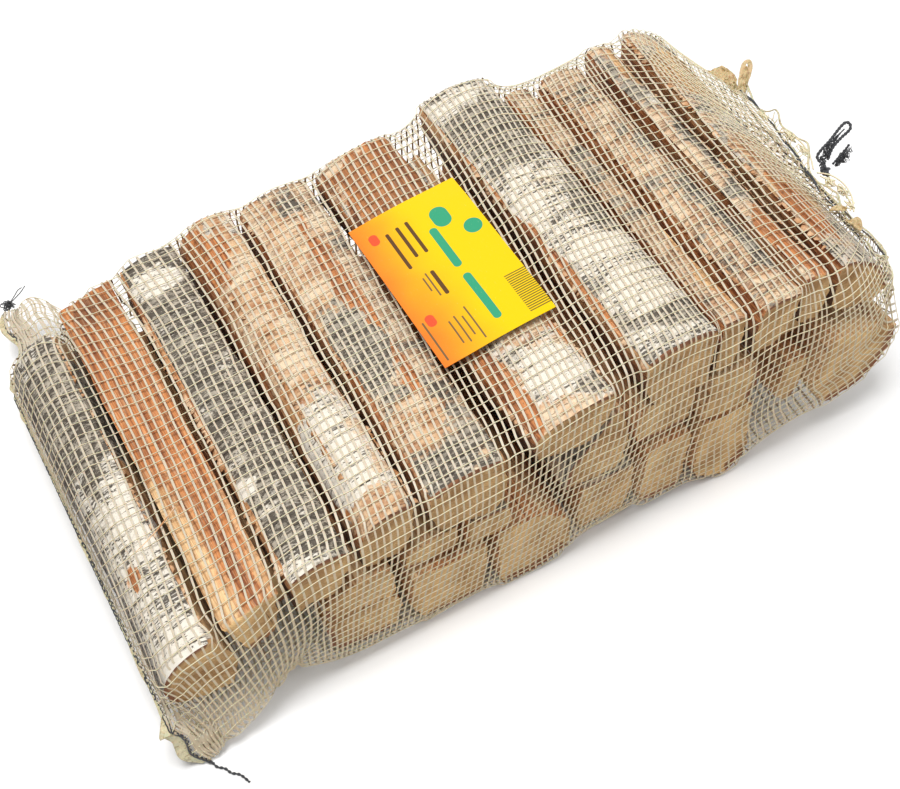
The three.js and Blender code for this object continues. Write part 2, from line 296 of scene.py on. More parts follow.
def split_look(n, place, red):
    """A split face: long fibres from orange-brown heart to tan, with darker streaks."""
    broad = n.noise(place, (38.0, 7.0, 38.0), 4.0, 0.6)
    fibres = n.noise(place, (330.0, 11.0, 330.0), 5.0, 0.7, 0.2)
    fine = n.noise(place, (1000.0, 26.0, 1000.0), 3.0, 0.7)
    knots = n.noise(place, (30.0, 16.0, 30.0), 3.0, 0.6)
    pores = n.noise(place, (420.0, 160.0, 420.0), 2.0, 0.6)
    heart = n.mix(n.ramp(fibres, 0.34, 0.66), (0.20, 0.052, 0.014), (0.68, 0.27, 0.085))
    sap = n.mix(n.ramp(fibres, 0.34, 0.66), (0.46, 0.22, 0.075), (0.88, 0.62, 0.33))
    share = n.ramp(n.plus(broad, n.times(red, 0.34)), 0.50, 0.84)
    color = n.mix(share, sap, heart)
    color = n.mix(n.times(n.ramp(fine, 0.5, 0.72), 0.4), color, (0.90, 0.70, 0.46))
    color = n.mix(n.times(n.ramp(pores, 0.6, 0.72), 0.6), color, (0.19, 0.07, 0.025))
    color = n.mix(n.times(n.ramp(knots, 0.60, 0.70), 0.65), color, (0.14, 0.05, 0.02))
    return color, n.plus(n.times(fibres, 0.7), n.times(fine, 0.4))


def log_side_material():
    """Bark on one side of a log, and split wood round the rest."""
    n = Nodes("birch_log")
    place = n.attribute("place").outputs["Vector"]
    tone = n.parts(n.attribute("tone").outputs["Vector"])
    share, red, depth = n.parts(n.attribute("share").outputs["Vector"])
    bark, bark_height = bark_look(n, place, tone)
    wood, wood_height = split_look(n, place, red)
    torn = n.noise(place, (140.0, 45.0, 140.0), 4.0, 0.6)
    edge = n.plus(share, n.times(n.minus(torn, 0.5), 0.7))
    covered = n.ramp(edge, 0.46, 0.54)
    rim = n.times(n.ramp(edge, 0.40, 0.48), n.ramp(n.minus(1.0, edge), 0.34, 0.46))
    color = n.mix(covered, wood, bark)
    color = n.mix(n.times(rim, 0.75), color, (0.72, 0.43, 0.24))
    # Painted shade: the faces between the top logs turn near black with the shade depth in share.
    color = n.mix(n.times(n.ramp(depth, 0.12, 1.0), 0.82), color, (0.035, 0.016, 0.008))
    bare = n.minus(1.0, covered)
    height = n.plus(n.times(covered, bark_height), n.times(bare, wood_height))
    height = n.plus(height, n.times(covered, 0.8))
    return n.finish(color, 0.75, n.bump(height, 0.75, 0.001))


# The distance between growth rings, in metres.
RING_SPACING = 0.0021


def sawn_material():
    """A sawn end: growth rings round the pith, saw marks and drying cracks."""
    n = Nodes("sawn_end")
    section = n.attribute("section").outputs["Vector"]
    length = n.add("ShaderNodeVectorMath", operation="LENGTH")
    flat = n.scaled(section, (1.0, 0.0, 1.0))
    wobble = n.noise(section, (40.0, 1.0, 40.0), 2.0)
    n.put(length.inputs[0], flat)
    radius = n.plus(length.outputs["Value"], n.times(wobble, 0.006))
    rings = n.math("SINE", n.times(radius, 2 * math.pi / RING_SPACING))
    across, _, up = n.parts(flat)
    angle = n.math("ARCTAN2", across, up)
    ray_place = n.add("ShaderNodeCombineXYZ")
    n.put(ray_place.inputs[0], n.times(angle, 9.0))
    n.put(ray_place.inputs[1], n.times(radius, 14.0))
    rays = n.noise(ray_place.outputs[0], 1.0, 2.0)
    blotch = n.noise(section, (30.0, 3.0, 30.0), 4.0, 0.6)
    marks = n.noise(section, (60.0, 10.0, 900.0), 3.0, 0.6)
    color = n.mix(n.ramp(blotch, 0.3, 0.7), (0.36, 0.18, 0.055), (0.84, 0.56, 0.25))
    color = n.mix(n.times(n.ramp(rings, -0.2, 1.0), 0.28), color, (0.38, 0.22, 0.11))
    color = n.mix(n.times(n.ramp(marks, 0.45, 0.75), 0.3), color, (0.85, 0.66, 0.40))
    share, _, _ = n.parts(n.attribute("share").outputs["Vector"])
    color = n.mix(n.ramp(share, 0.25, 0.85), color, (0.27, 0.11, 0.05))
    crack = n.ramp(rays, 0.70, 0.76)
    color = n.mix(n.times(crack, 0.75), color, (0.10, 0.055, 0.03))
    height = n.minus(n.times(marks, 0.8), crack)
    return n.finish(color, 0.82, n.bump(height, 0.6, 0.0008))


def net_material(name, pale, deep):
    """Woven plastic tape or thread: pale and streaked, and darker and browner with painted shade where it
    faces sideways.
    """
    n = Nodes(name)
    place = n.attribute("along").outputs["Vector"]
    streaks = n.noise(place, (60.0, 3500.0, 1.0), 2.0, 0.6)
    blotch = n.noise(place, (35.0, 1.0, 7.0), 2.0, 0.5)
    color = n.mix(streaks, deep, pale)
    color = n.mix(n.times(blotch, 0.35), color, deep)
    # Painted shade: where the surface faces sideways, not up, the colour is mixed towards a dark brown.
    _, _, up = n.parts(n.add("ShaderNodeNewGeometry").outputs["Normal"])
    level = n.ramp(n.math("ABSOLUTE", up), 0.15, 0.8)
    color = n.mix(level, n.mix(0.55, color, (0.50, 0.375, 0.20)), color)
    return n.finish(
        color, 0.42, n.bump(streaks, 0.35, 0.0002), Specular_IOR_Level=0.45,
        Subsurface_Weight=0.12, Subsurface_Scale=0.002,
    )


def thread_material():
    """Black polyester stitching and cord."""
    n = Nodes("black_thread")
    place = n.add("ShaderNodeTexCoord").outputs["Object"]
    fibres = n.noise(place, 2600.0, 3.0, 0.6)
    twist = n.noise(place, 900.0, 2.0, 0.5)
    color = n.mix(fibres, (0.006, 0.007, 0.009), (0.045, 0.047, 0.055))
    return n.finish(color, 0.55, n.bump(twist, 0.7, 0.0004), Sheen_Weight=0.25)


# ---- Mesh helpers ----


def make_piece(name, points, faces, materials, slot, stands_for=()):
    """One smooth piece from mm points and a list of faces, which rides with the sack."""
    mesh = bpy.data.meshes.new(name)
    corners = np.array([len(face) for face in faces], np.int32)
    mesh.vertices.add(len(points))
    mesh.vertices.foreach_set("co", to_row(points).astype(np.float32).ravel())
    mesh.loops.add(int(corners.sum()))
    mesh.loops.foreach_set("vertex_index", np.concatenate([np.asarray(face, np.int32) for face in faces]))
    mesh.polygons.add(len(faces))
    mesh.polygons.foreach_set("loop_start", (np.cumsum(corners) - corners).astype(np.int32))
    mesh.polygons.foreach_set("use_smooth", np.ones(len(faces), bool))
    mesh.update(calc_edges=True)
    mesh.validate()
    for material in materials:
        mesh.materials.append(material)
    piece = bpy.data.objects.new(name, mesh)
    bpy.context.scene.collection.objects.link(piece)
    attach(piece, BODY)
    if stands_for:
        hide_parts(*stands_for)
    return piece


def add_vectors(piece, name, vectors):
    """A named vector on every vertex, for a material to read."""
    layer = piece.data.attributes.new(name, "FLOAT_VECTOR", "POINT")
    layer.data.foreach_set("vector", np.asarray(vectors, np.float32).ravel())


def catmull_rom(before, begin, end, after, t):
    """A Catmull-Rom curve at t, from 0 at begin to 1 at end."""
    return 0.5 * (2 * begin + (end - before) * t
                  + (2 * before - 5 * begin + 4 * end - after) * t**2
                  + (3 * begin - before - 3 * end + after) * t**3)


def smooth_curve(points, step):
    """A curve through given points, sampled about every step mm."""
    points = np.asarray(points, float)
    padded = np.vstack([2 * points[0] - points[1], points, 2 * points[-1] - points[-2]])
    curve = []
    for corners in zip(padded, padded[1:], padded[2:], padded[3:]):
        count = max(1, int(np.ceil(np.linalg.norm(corners[2] - corners[1]) / step)))
        curve.append(catmull_rom(*corners, np.linspace(0, 1, count, endpoint=False)[:, None]))
    return np.vstack([*curve, points[-1:]])


def distances_along(points):
    """How far along a line each of its points is."""
    return np.concatenate([[0], np.cumsum(np.linalg.norm(np.diff(points, axis=0), axis=1))])


def strip_faces(rows, columns, loop_columns=False, loop_rows=False):
    """Quads of a grid of rows x columns vertices, numbered row by row."""
    row_count = rows if loop_rows else rows - 1
    column_count = columns if loop_columns else columns - 1
    row, column = np.meshgrid(np.arange(row_count), np.arange(column_count), indexing="ij")
    here = row * columns
    ahead = (row + 1) % rows * columns
    beside = (column + 1) % columns
    return np.stack([here + column, here + beside, ahead + beside, ahead + column], -1).reshape(-1, 4)


def tube_faces(rings, sides, closed=False):
    """Faces of a tube of rings of vertices, with both ends shut unless it closes on itself."""
    faces = [tuple(face) for face in strip_faces(rings, sides, loop_columns=True, loop_rows=closed)]
    if not closed:
        faces.append(tuple(range(sides))[::-1])
        faces.append(tuple(range((rings - 1) * sides, rings * sides)))
    return faces


def sheet_faces(columns, rows, turned=False):
    """Faces of a thin closed sheet: a grid of columns x rows vertices, then the same grid under it.

    They face outwards when the upper grid is on the side of columns x rows, and turned when it isn't.
    """
    count = columns * rows
    index = np.arange(count).reshape(columns, rows)
    rim = np.concatenate([index[:, 0], index[-1, 1:], index[-2::-1, -1], index[0, -2:0:-1]])
    walls = np.stack([np.roll(rim, -1), rim, rim + count, np.roll(rim, -1) + count], -1)
    quads = strip_faces(columns, rows)
    faces = np.vstack([quads[:, ::-1], quads + count, walls])
    return faces[:, ::-1] if turned else faces


def unit(vectors):
    """The same directions, one long."""
    return vectors / np.maximum(np.linalg.norm(vectors, axis=-1, keepdims=True), 1e-9)


def value_noise(points, seed):
    """Smooth noise in about -1..1 at the given places, from a hashed lattice of whole numbers."""
    place = np.asarray(points, float)
    base = np.floor(place).astype(np.int64)
    part = place - base
    part = part * part * (3 - 2 * part)
    total = np.zeros(place.shape[:-1])
    for corner in np.ndindex(*(2,) * place.shape[-1]):
        cell = base + np.array(corner)
        key = np.full(place.shape[:-1], seed * 7919 + 17, np.int64)
        for axis, prime in zip(range(place.shape[-1]), (73856093, 19349663, 83492791)):
            key = key ^ (cell[..., axis] * prime)
        key = (key ^ (key >> 13)) * 1274126177 & 0x7FFFFFFF
        key = (key ^ (key >> 15)) & 0xFFFF
        weight = np.prod(np.where(corner, part, 1 - part), axis=-1)
        total += weight * (key / 32767.5 - 1)
    return total


def noise_vectors(points, seeds):
    """Three separate noises at each place, as a vector."""
    return np.stack([value_noise(points, seed) for seed in seeds], -1)


def noise_along(marks, seed):
    """Smooth noise along one line of numbers."""
    return value_noise(np.stack([marks, 0 * marks], -1), seed)


# ---- Split logs ----

# Where each log's bark faces, as degrees from +X towards +Z and the half angle that it spans, then
# how chalky and how speckled the bark is, how far it has peeled to peach, and how red the wood is.
LOG_LOOKS = {
    "log_01": (150, 75, 0.9, 0.85, 0.0, 0.2),
    "log_02": (265, 40, 0.4, 0.5, 0.1, 0.75),
    "log_03": (84, 50, 0.30, 1.0, 0.05, 0.8),
    "log_04": (80, 44, 0.9, 0.60, 0.42, 0.9),
    "log_05": (84, 48, 0.35, 0.80, 0.48, 0.7),
    "log_06": (96, 46, 0.9, 0.70, 0.50, 1.0),
    "log_07": (84, 48, 0.80, 0.95, 0.12, 0.8),
    "log_08": (84, 46, 0.2, 0.70, 0.50, 0.9),
    "log_09": (86, 46, 0.3, 0.70, 0.52, 0.9),
    "log_10": (84, 46, 0.6, 0.60, 0.46, 0.8),
    "log_11": (60, 58, 0.7, 0.60, 0.40, 0.6),
    "log_12": (250, 50, 0.5, 0.6, 0.3, 0.6),
    "log_13": (200, 45, 0.6, 0.6, 0.3, 0.5),
    "log_14": (270, 45, 0.6, 0.6, 0.3, 0.4),
    "log_15": (90, 40, 0.5, 0.6, 0.4, 0.6),
    "log_16": (180, 40, 0.6, 0.6, 0.3, 0.5),
    "log_17": (270, 45, 0.5, 0.6, 0.3, 0.6),
    "log_18": (0, 45, 0.6, 0.6, 0.3, 0.4),
    "log_19": (270, 45, 0.5, 0.6, 0.3, 0.5),
    "log_20": (90, 45, 0.5, 0.6, 0.3, 0.6),
    "log_21": (225, 55, 0.7, 0.8, 0.2, 0.5),
    "log_22": (265, 50, 0.6, 0.8, 0.3, 0.4),
    "log_23": (270, 45, 0.6, 0.7, 0.4, 0.6),
    "log_24": (90, 45, 0.6, 0.7, 0.3, 0.5),
    "log_25": (275, 45, 0.7, 0.8, 0.2, 0.4),
    "log_26": (315, 45, 0.6, 0.8, 0.3, 0.6),
    "log_27": (300, 40, 0.5, 0.6, 0.3, 0.5),
    "log_28": (325, 62, 0.7, 0.7, 0.3, 0.1),
}
# Surfaces laid over a top log's plain look: what kind, where its middle is (X, Y) and its half
# sizes along X and Y, in mm. A kind sets some of the looks: chalky, speckled, peeled, red, bark,
# and dark, which adds painted shade.
SPOT_KINDS = {
    "chalk": {"white": 1.05, "specks": 0.45, "peach": 0.0, "bark": 1.0},
    "grey": {"white": 0.1, "specks": 0.95, "peach": 0.0, "bark": 1.0},
    "peel": {"white": 0.7, "specks": 0.4, "peach": 0.85, "bark": 1.0},
    "rust": {"red": 1.5, "bark": 0.0},
    "tan": {"red": -0.4, "bark": 0.0},
    # Red split wood, darkened with painted shade.
    "rust_and_shade": {"red": 1.3, "bark": 0.0, "dark": 0.5},
}
SURFACE_SPOTS = [
    ("log_01", "grey", -262, 75, 40, 60), ("log_01", "chalk", -252, -35, 14, 34),
    ("log_01", "chalk", -262, -140, 20, 16), ("log_01", "rust", -270, -75, 5, 9),
    ("log_02", "rust", -210, 75, 30, 90), ("log_02", "rust", -205, -60, 9, 90),
    ("log_02", "tan", -235, -105, 14, 75),
    ("log_03", "chalk", -163, 128, 20, 12), ("log_03", "chalk", -181, -72, 13, 7),
    ("log_03", "chalk", -193, -120, 9, 12), ("log_03", "chalk", -182, -146, 26, 7),
    ("log_03", "peel", -200, 0, 6, 150), ("log_03", "rust", -204, 60, 4, 60),
    ("log_04", "peel", -108, 60, 24, 85), ("log_04", "rust", -122, 118, 17, 26),
    ("log_04", "rust", -140, 60, 9, 80), ("log_04", "chalk", -118, -85, 19, 38),
    ("log_04", "rust", -139, -70, 5, 60), ("log_04", "peel", -112, -138, 20, 12),
    ("log_05", "peel", -70, 70, 18, 75), ("log_05", "rust", -45, 10, 8, 90),
    ("log_05", "grey", -62, -20, 22, 40), ("log_05", "peel", -58, -95, 20, 22),
    ("log_05", "rust", -80, -60, 6, 60), ("log_05", "grey", -60, -140, 26, 16),
    ("log_06", "rust_and_shade", 28, 92, 44, 60), ("log_06", "rust", 4, -110, 10, 50),
    ("log_06", "peel", 40, 10, 30, 40), ("log_06", "chalk", 42, -112, 20, 24),
    ("log_06", "rust", 66, -60, 8, 50), ("log_06", "grey", 56, -138, 14, 8),
    ("log_07", "chalk", 105, 140, 30, 8), ("log_07", "grey", 122, 95, 36, 38),
    ("log_07", "chalk", 100, 20, 12, 22), ("log_07", "chalk", 118, -45, 22, 14),
    ("log_07", "grey", 140, -10, 14, 30), ("log_07", "chalk", 130, -92, 28, 22),
    ("log_07", "grey", 140, -125, 24, 12), ("log_07", "rust", 88, -70, 6, 60),
    ("log_08", "rust", 200, 90, 20, 66), ("log_08", "grey", 200, -10, 12, 40),
    ("log_08", "tan", 184, -100, 14, 55),
    ("log_09", "peel", 232, 95, 14, 40), ("log_09", "rust", 228, 20, 10, 30),
    ("log_09", "grey", 228, -60, 14, 60),
    ("log_10", "tan", 262, 120, 16, 30), ("log_10", "chalk", 262, 74, 16, 9),
    ("log_10", "rust", 250, -100, 16, 40), ("log_10", "grey", 268, 10, 20, 50),
    ("log_11", "tan", 300, 100, 26, 30), ("log_11", "chalk", 310, 30, 22, 16),
    ("log_11", "peel", 298, -10, 22, 26), ("log_11", "tan", 296, -60, 26, 22),
    ("log_11", "rust", 284, -80, 12, 34),
]
LOG_STEP = 2.3
LOG_STATIONS = 60
CAP_RINGS = (0.93, 0.7, 0.42, 0.16)
# An outline's corner is sharp when the cosine between its sides is under this. It wears this far.
SHARP_CORNER = 0.93
CORNER_WEAR = 4.5
# Over how many degrees bark gives way to split wood.
BARK_FADE = 24
# Painted shade darkens the faces between the top logs, this far below each log's crest.
SHADE_START = 9.0
SHADE_DEPTH = 26.0


def end_outline(points, middle):
    """The outline round one end of a log, in order, with each corner once."""
    turn = np.arctan2(points[:, 2] - middle[2], points[:, 0] - middle[0])
    ring = points[np.argsort(turn)]
    return ring[np.linalg.norm(ring - np.roll(ring, 1, axis=0), axis=1) > 0.05]


def log_shape(name):
    """A log's outlines at its front and back ends, in mm, corner for corner."""
    mesh = frame["nodes"][name].data
    points = np.zeros(len(mesh.vertices) * 3)
    mesh.vertices.foreach_get("co", points)
    points = from_row(points.reshape(-1, 3))
    halfway = (points[:, 1].min() + points[:, 1].max()) / 2
    front = points[points[:, 1] < halfway]
    back = points[points[:, 1] > halfway]
    return end_outline(front, front.mean(0)), end_outline(back, back.mean(0))


def log_planes(front, back):
    """Outward normals and offsets of the flat faces round a log."""
    sweep = (back - front).mean(0)
    edges = np.roll(front, -1, axis=0) - front
    normals = unit(np.cross(sweep, edges))
    if np.sum((front - front.mean(0)) * normals) < 0:
        normals = -normals
    offsets = np.sum(normals * front, axis=1)
    for ring, outward in ((front, -1), (back, 1)):
        spans = np.cross(ring - ring.mean(0), np.roll(ring, -1, axis=0) - ring.mean(0)).sum(0)
        normal = unit(spans)
        normal = normal * np.sign(normal[1]) * outward
        normals = np.vstack([normals, normal])
        offsets = np.append(offsets, (ring @ normal).max())
    return normals, offsets


LOG_SHAPES = {name: log_shape(name) for name in LOG_NAMES}
LOG_PLANES = {name: log_planes(*shape) for name, shape in LOG_SHAPES.items()}
LOG_BOUNDS = {
    name: (np.vstack(shape).min(0), np.vstack(shape).max(0)) for name, shape in LOG_SHAPES.items()
}


def resample_ring(ring, step):
    """Points evenly along a closed outline, the side that each is on, and how far along it."""
    closed = np.vstack([ring, ring[:1]])
    sides = np.diff(closed, axis=0)
    lengths = np.linalg.norm(sides, axis=1)
    along = distances_along(closed)
    count = int(round(along[-1] / step))
    marks = np.arange(count) * along[-1] / count
    side = np.clip(np.searchsorted(along, marks, side="right") - 1, 0, len(sides) - 1)
    points = closed[side] + sides[side] * ((marks - along[side]) / lengths[side])[:, None]
    return points, side, (marks - along[side]) / lengths[side]


def paint_spots(name, grid, upward, looks):
    """Works the surface spots of one log, with uneven edges, into its looks."""
    edge = 0.3 * value_noise(grid / [6, 11, 6], 61) + 0.2 * value_noise(grid / [3, 5, 3], 62)
    for log, kind, x, y, half_x, half_y in SURFACE_SPOTS:
        if log == name:
            gap = np.hypot((grid[..., 0] - x) / half_x, (grid[..., 1] - y) / half_y) + edge
            share = np.clip((1.2 - gap) / 0.3, 0, 1) * upward
            for part, goal in SPOT_KINDS[kind].items():
                looks[part] = looks[part] + (goal - looks[part]) * share


def smooth_sides(name):
    """A log's sides before wear: rings of points from front to back, where they face, and each ring's
    share of the way."""
    ring, back_ring = LOG_SHAPES[name]
    points, side, part = resample_ring(ring, LOG_STEP)
    back_sides = np.roll(back_ring, -1, axis=0) - back_ring
    back_points = back_ring[side] + back_sides[side] * part[:, None]
    stations = np.linspace(0, 1, LOG_STATIONS)
    stations = stations + 0.004 * np.sin(stations * 2 * np.pi)
    grid = points + stations[:, None, None] * (back_points - points)
    facing = LOG_PLANES[name][0][:-2][side]
    facing = facing + np.roll(facing, 1, 0) + np.roll(facing, -1, 0)
    facing = unit(facing + np.roll(facing, 1, 0) + np.roll(facing, -1, 0))
    return grid, facing, stations


def corner_share(name, points):
    """1 at the sharp corners of a log's outline, and 0 away from them."""
    normals = LOG_PLANES[name][0][:-2]
    turns = np.abs(np.sum(normals * np.roll(normals, 1, axis=0), axis=1))
    share = np.zeros(len(points))
    for corner in LOG_SHAPES[name][0][turns < SHARP_CORNER]:
        gap = np.linalg.norm(points - corner, axis=1)
        share = np.maximum(share, np.exp(-(gap / CORNER_WEAR) ** 2))
    return share


def wear_sides(name, seed, grid, facing, stations):
    """Works bark, fibres, chips and ragged ends into a log's sides: the new grid, and its looks."""
    bark_angle, bark_half, white, specks, peach, red = LOG_LOOKS[name]
    local = grid - LOG_SHAPES[name][0].mean(0)
    fibres = value_noise(local / [5, 90, 5], seed)
    fine = value_noise(local / [5, 90, 5] * [2.6, 2, 2.6], seed + 1)
    waves = value_noise(local / [26, 70, 26], seed + 2)
    bumps = value_noise(local / [9, 6, 9], seed + 1)
    chips = value_noise(local / [6, 16, 6], seed + 2)
    turn = np.degrees(np.arctan2(facing[:, 2], facing[:, 0]))
    off_bark = np.abs((turn - bark_angle + 180) % 360 - 180)
    bark = np.clip(0.5 + (bark_half - off_bark) / BARK_FADE, 0, 1)
    bark = np.clip(bark + 0.25 * waves + 0.2 * chips, 0, 1)
    # dark adds painted shade; a spot can set it.
    plain = {"white": white, "specks": specks, "peach": peach, "red": red, "dark": 0.0}
    looks = {look: np.full(grid.shape[:2], value) for look, value in plain.items()}
    looks["bark"] = bark * bark * (3 - 2 * bark)
    paint_spots(name, grid, np.clip((facing[:, 2] - 0.1) / 0.3, 0, 1), looks)
    bark = looks["bark"]
    depth = (1.2 + 0.9 * fibres + 0.4 * fine + 1.3 * waves) * (1 - bark)
    depth = depth + (0.75 + 0.35 * bumps + 0.75 * waves) * bark
    depth = depth + corner_share(name, grid[0]) * (1.5 + 1.1 * chips)
    end_gap = np.minimum(stations, 1 - stations)[:, None] * LOG_LENGTH
    depth = depth + np.exp(-(end_gap / 2.2) ** 2) * (0.8 + 0.6 * chips)
    grid = grid - facing * np.clip(depth, 0.25, 4.2)[..., None]
    ragged = np.clip(np.exp(-(end_gap / 9) ** 2) * (0.7 + 0.9 * chips), 0, 2.5)
    grid[..., 1] += np.where(stations[:, None] < 0.5, 1, -1) * ragged
    return grid, looks


def sawn_ends(grid, centre, seed):
    """Both sawn ends of a log, as rings that close in on a middle vertex: vertices and faces."""
    stations, count = grid.shape[:2]
    vertices, faces = [], []
    start = stations * count
    for row, outward in ((0, -1), (stations - 1, 1)):
        rim = grid[row]
        core = rim.mean(0)
        outer = np.arange(row * count, (row + 1) * count)
        for scale in CAP_RINGS:
            ring = core + (rim - core) * scale
            rough = value_noise((ring - centre) / [14, 50, 3], seed)
            ring[:, 1] = core[1] + outward * (0.35 * rough - 0.1)
            vertices.append(ring)
            inner = np.arange(start, start + count)
            quads = np.stack([outer, np.roll(outer, -1), np.roll(inner, -1), inner], -1)
            faces.extend(quads[:, ::-outward])
            outer = inner
            start += count
        vertices.append(core[None])
        fan = np.stack([outer, np.roll(outer, -1), np.full(count, start)], -1)
        faces.extend(fan[:, ::-outward])
        start += 1
    return vertices, faces


def mark_log(log, name, number, vertices, looks):
    """Gives every vertex what the materials read: its place, its section, and its looks."""
    bark_angle, _, white, specks, peach, red = LOG_LOOKS[name]
    ring = LOG_SHAPES[name][0]
    centre = ring.mean(0)
    heading = np.radians(bark_angle)
    to_bark = np.array([np.cos(heading), 0, np.sin(heading)])
    pith = centre + to_bark * (((ring - centre) @ to_bark).min() - 6)
    add_vectors(log, "section", (vertices - pith) * MM)
    add_vectors(log, "place", (vertices - centre) * MM + np.array([0.37, 0.91, 0.53]) * number)

    count = looks["bark"].shape[1]
    body = LOG_STATIONS * count
    tone = np.tile([white, specks, peach], (len(vertices), 1))
    for column, look in enumerate(("white", "specks", "peach")):
        tone[:body, column] = looks[look].ravel()
    add_vectors(log, "tone", tone)

    share = np.zeros((len(vertices), 3))
    share[:body, 0] = looks["bark"].ravel()
    share[body : body + count, 0] = looks["bark"][0]
    back_cap = body + len(CAP_RINGS) * count + 1
    share[back_cap : back_cap + count, 0] = looks["bark"][-1]
    share[:, 1] = red
    share[:body, 1] = looks["red"].ravel()
    # Painted shade on the top logs: darker the further a side falls below the log's crest, plus the dark look
    # of a spot.
    if number <= TOP_LOGS:
        height = vertices[:body, 2].reshape(LOG_STATIONS, count)
        fall = height.max(1, keepdims=True) - height - SHADE_START
        share[:body, 2] = np.clip(np.maximum(fall / SHADE_DEPTH, 0) + looks["dark"], 0, 1).ravel()
    add_vectors(log, "share", share)


def build_log(name, number, materials):
    """One split log with worn sides and two sawn ends."""
    centre = LOG_SHAPES[name][0].mean(0)
    seed = number * 3
    grid, looks = wear_sides(name, seed, *smooth_sides(name))
    ends, end_faces = sawn_ends(grid, centre, seed + 1)
    vertices = np.vstack([grid.reshape(-1, 3), *ends])
    side_faces = strip_faces(*grid.shape[:2], loop_columns=True)[:, ::-1]
    log = make_piece(f"{name}_wood", vertices, [*side_faces, *end_faces], materials, "birch_log", [name])
    sawn = np.repeat([0, 1], [len(side_faces), len(end_faces)]).astype(np.int32)
    log.data.polygons.foreach_set("material_index", sawn)
    log.data.set_sharp_from_angle(angle=math.radians(50))
    mark_log(log, name, number, vertices, looks)


def build_logs():
    materials = (log_side_material(), sawn_material())
    for number, name in enumerate(LOG_NAMES, 1):
        build_log(name, number, materials)


# ---- The net: how it lies over the logs ----

TAPE_COUNT = 134
THREAD_COUNT = 112
TAPE_PITCH = 5.2
THREAD_PITCH = 8.75
NET_FRONT = -159.0
NET_BACK = 165.0
HALF_ROUND = THREAD_COUNT // 2

# Over and under points of the sack's outline, as (x, z), from the sewn end to the mouth.
SACK_OUTLINE = [
    ((-285.5, 50.5), (-285.5, 48.0)), ((-290, 72), (-279, 45.5)), ((-290, 98), (-268, 44)),
    ((-274, 124), (-250, 43)), ((-246, 134), (-222, 42)), ((-190, 160), (-180, 27)),
    ((-136, 171), (-146, 3)), ((-85, 180), (-92, 0.6)), ((-40, 187), (-40, 0.6)),
    ((15, 195), (15, 0.6)), ((68, 203), (68, 0.6)), ((92, 210), (100, 0.6)),
    ((125, 219), (140, 0.6)), ((170, 215), (206, 0.6)), ((210, 213), (222, 23)),
    ((250, 210), (282, 28.5)), ((266, 209), (340, 47)), ((280, 207.5), (353, 72)),
    ((295, 204), (353, 112)), ((306, 199.5), (345, 152)), ((321, 189), (341, 159)),
]
SEAM_ROUTE = [
    (-271.1, -171.1, 2.8), (-279.4, -167.1, 17.5), (-279.6, -162.6, 34.2), (-285.8, -158.5, 46.5),
    (-286.4, -148, 49), (-286.4, 0, 49.5), (-286.4, 150, 49), (-285.4, 168, 47.4),
    (-278.6, 190, 44.8), (-264.4, 221, 42.1), (-268.8, 247, 39.9), (-265.2, 266, 38.2),
]
# How far the flat corners reach out past the logs, against X.
FRONT_EAR = [(-285, 2), (-277, 28), (-269, 45), (-250, 40), (-225, 28), (-196, 0)]
BACK_EAR = [(-285, 3), (-276, 26), (-267, 80), (-262, 98), (-250, 106), (-240, 118), (-221, 94), (-206, 0)]
FRONT_EAR_FALL = math.radians(75)
BACK_EAR_FALL = math.radians(5)
MOUTH_ROUTE = [
    (331, 62, 186), (327.5, 30, 189), (321, -18, 189.5), (316.5, -50, 186.5), (315, -73, 183),
    (317.5, -100, 176), (322.5, -121, 167), (331, -126, 160), (340, -118, 155), (343, -90, 153),
    (343, -40, 153), (343, 20, 156), (342, 54, 162), (338, 64, 174),
]
# The share of the way to the mouth where the net starts to draw in, how askew the tapes lie, how
# much the threads crowd to the mouth's front, and how many tapes fan out from the sewn edge.
MOUTH_START = 0.88
SLANT = 0.038
FRONT_CROWDING = 1.35
FAN_ROWS = 12
# The net settles in this many rounds, and its flat corners are held to their shape this firmly.
RELAX_ROUNDS = 420
EAR_HOLD = 0.2
EAR_HEIGHT = 48.0
EAR_HALF_THICKNESS = 1.5
NET_CLEARANCE = 1.5
FLOOR_CLEARANCE = 1.0


def even_points(route, count, closed):
    """Points spread evenly along a route."""
    route = np.asarray(route, float)
    if closed:
        route = np.vstack([route, route[:1]])
    along = distances_along(route)
    marks = np.linspace(0, along[-1], count, endpoint=not closed)
    return np.stack([np.interp(marks, along, route[:, axis]) for axis in range(3)], -1)


def ear_reach(outline, x):
    """How far a flat corner reaches out at one X."""
    if x >= outline[-1][0]:
        return 0.0
    return float(np.interp(x, *zip(*outline)))


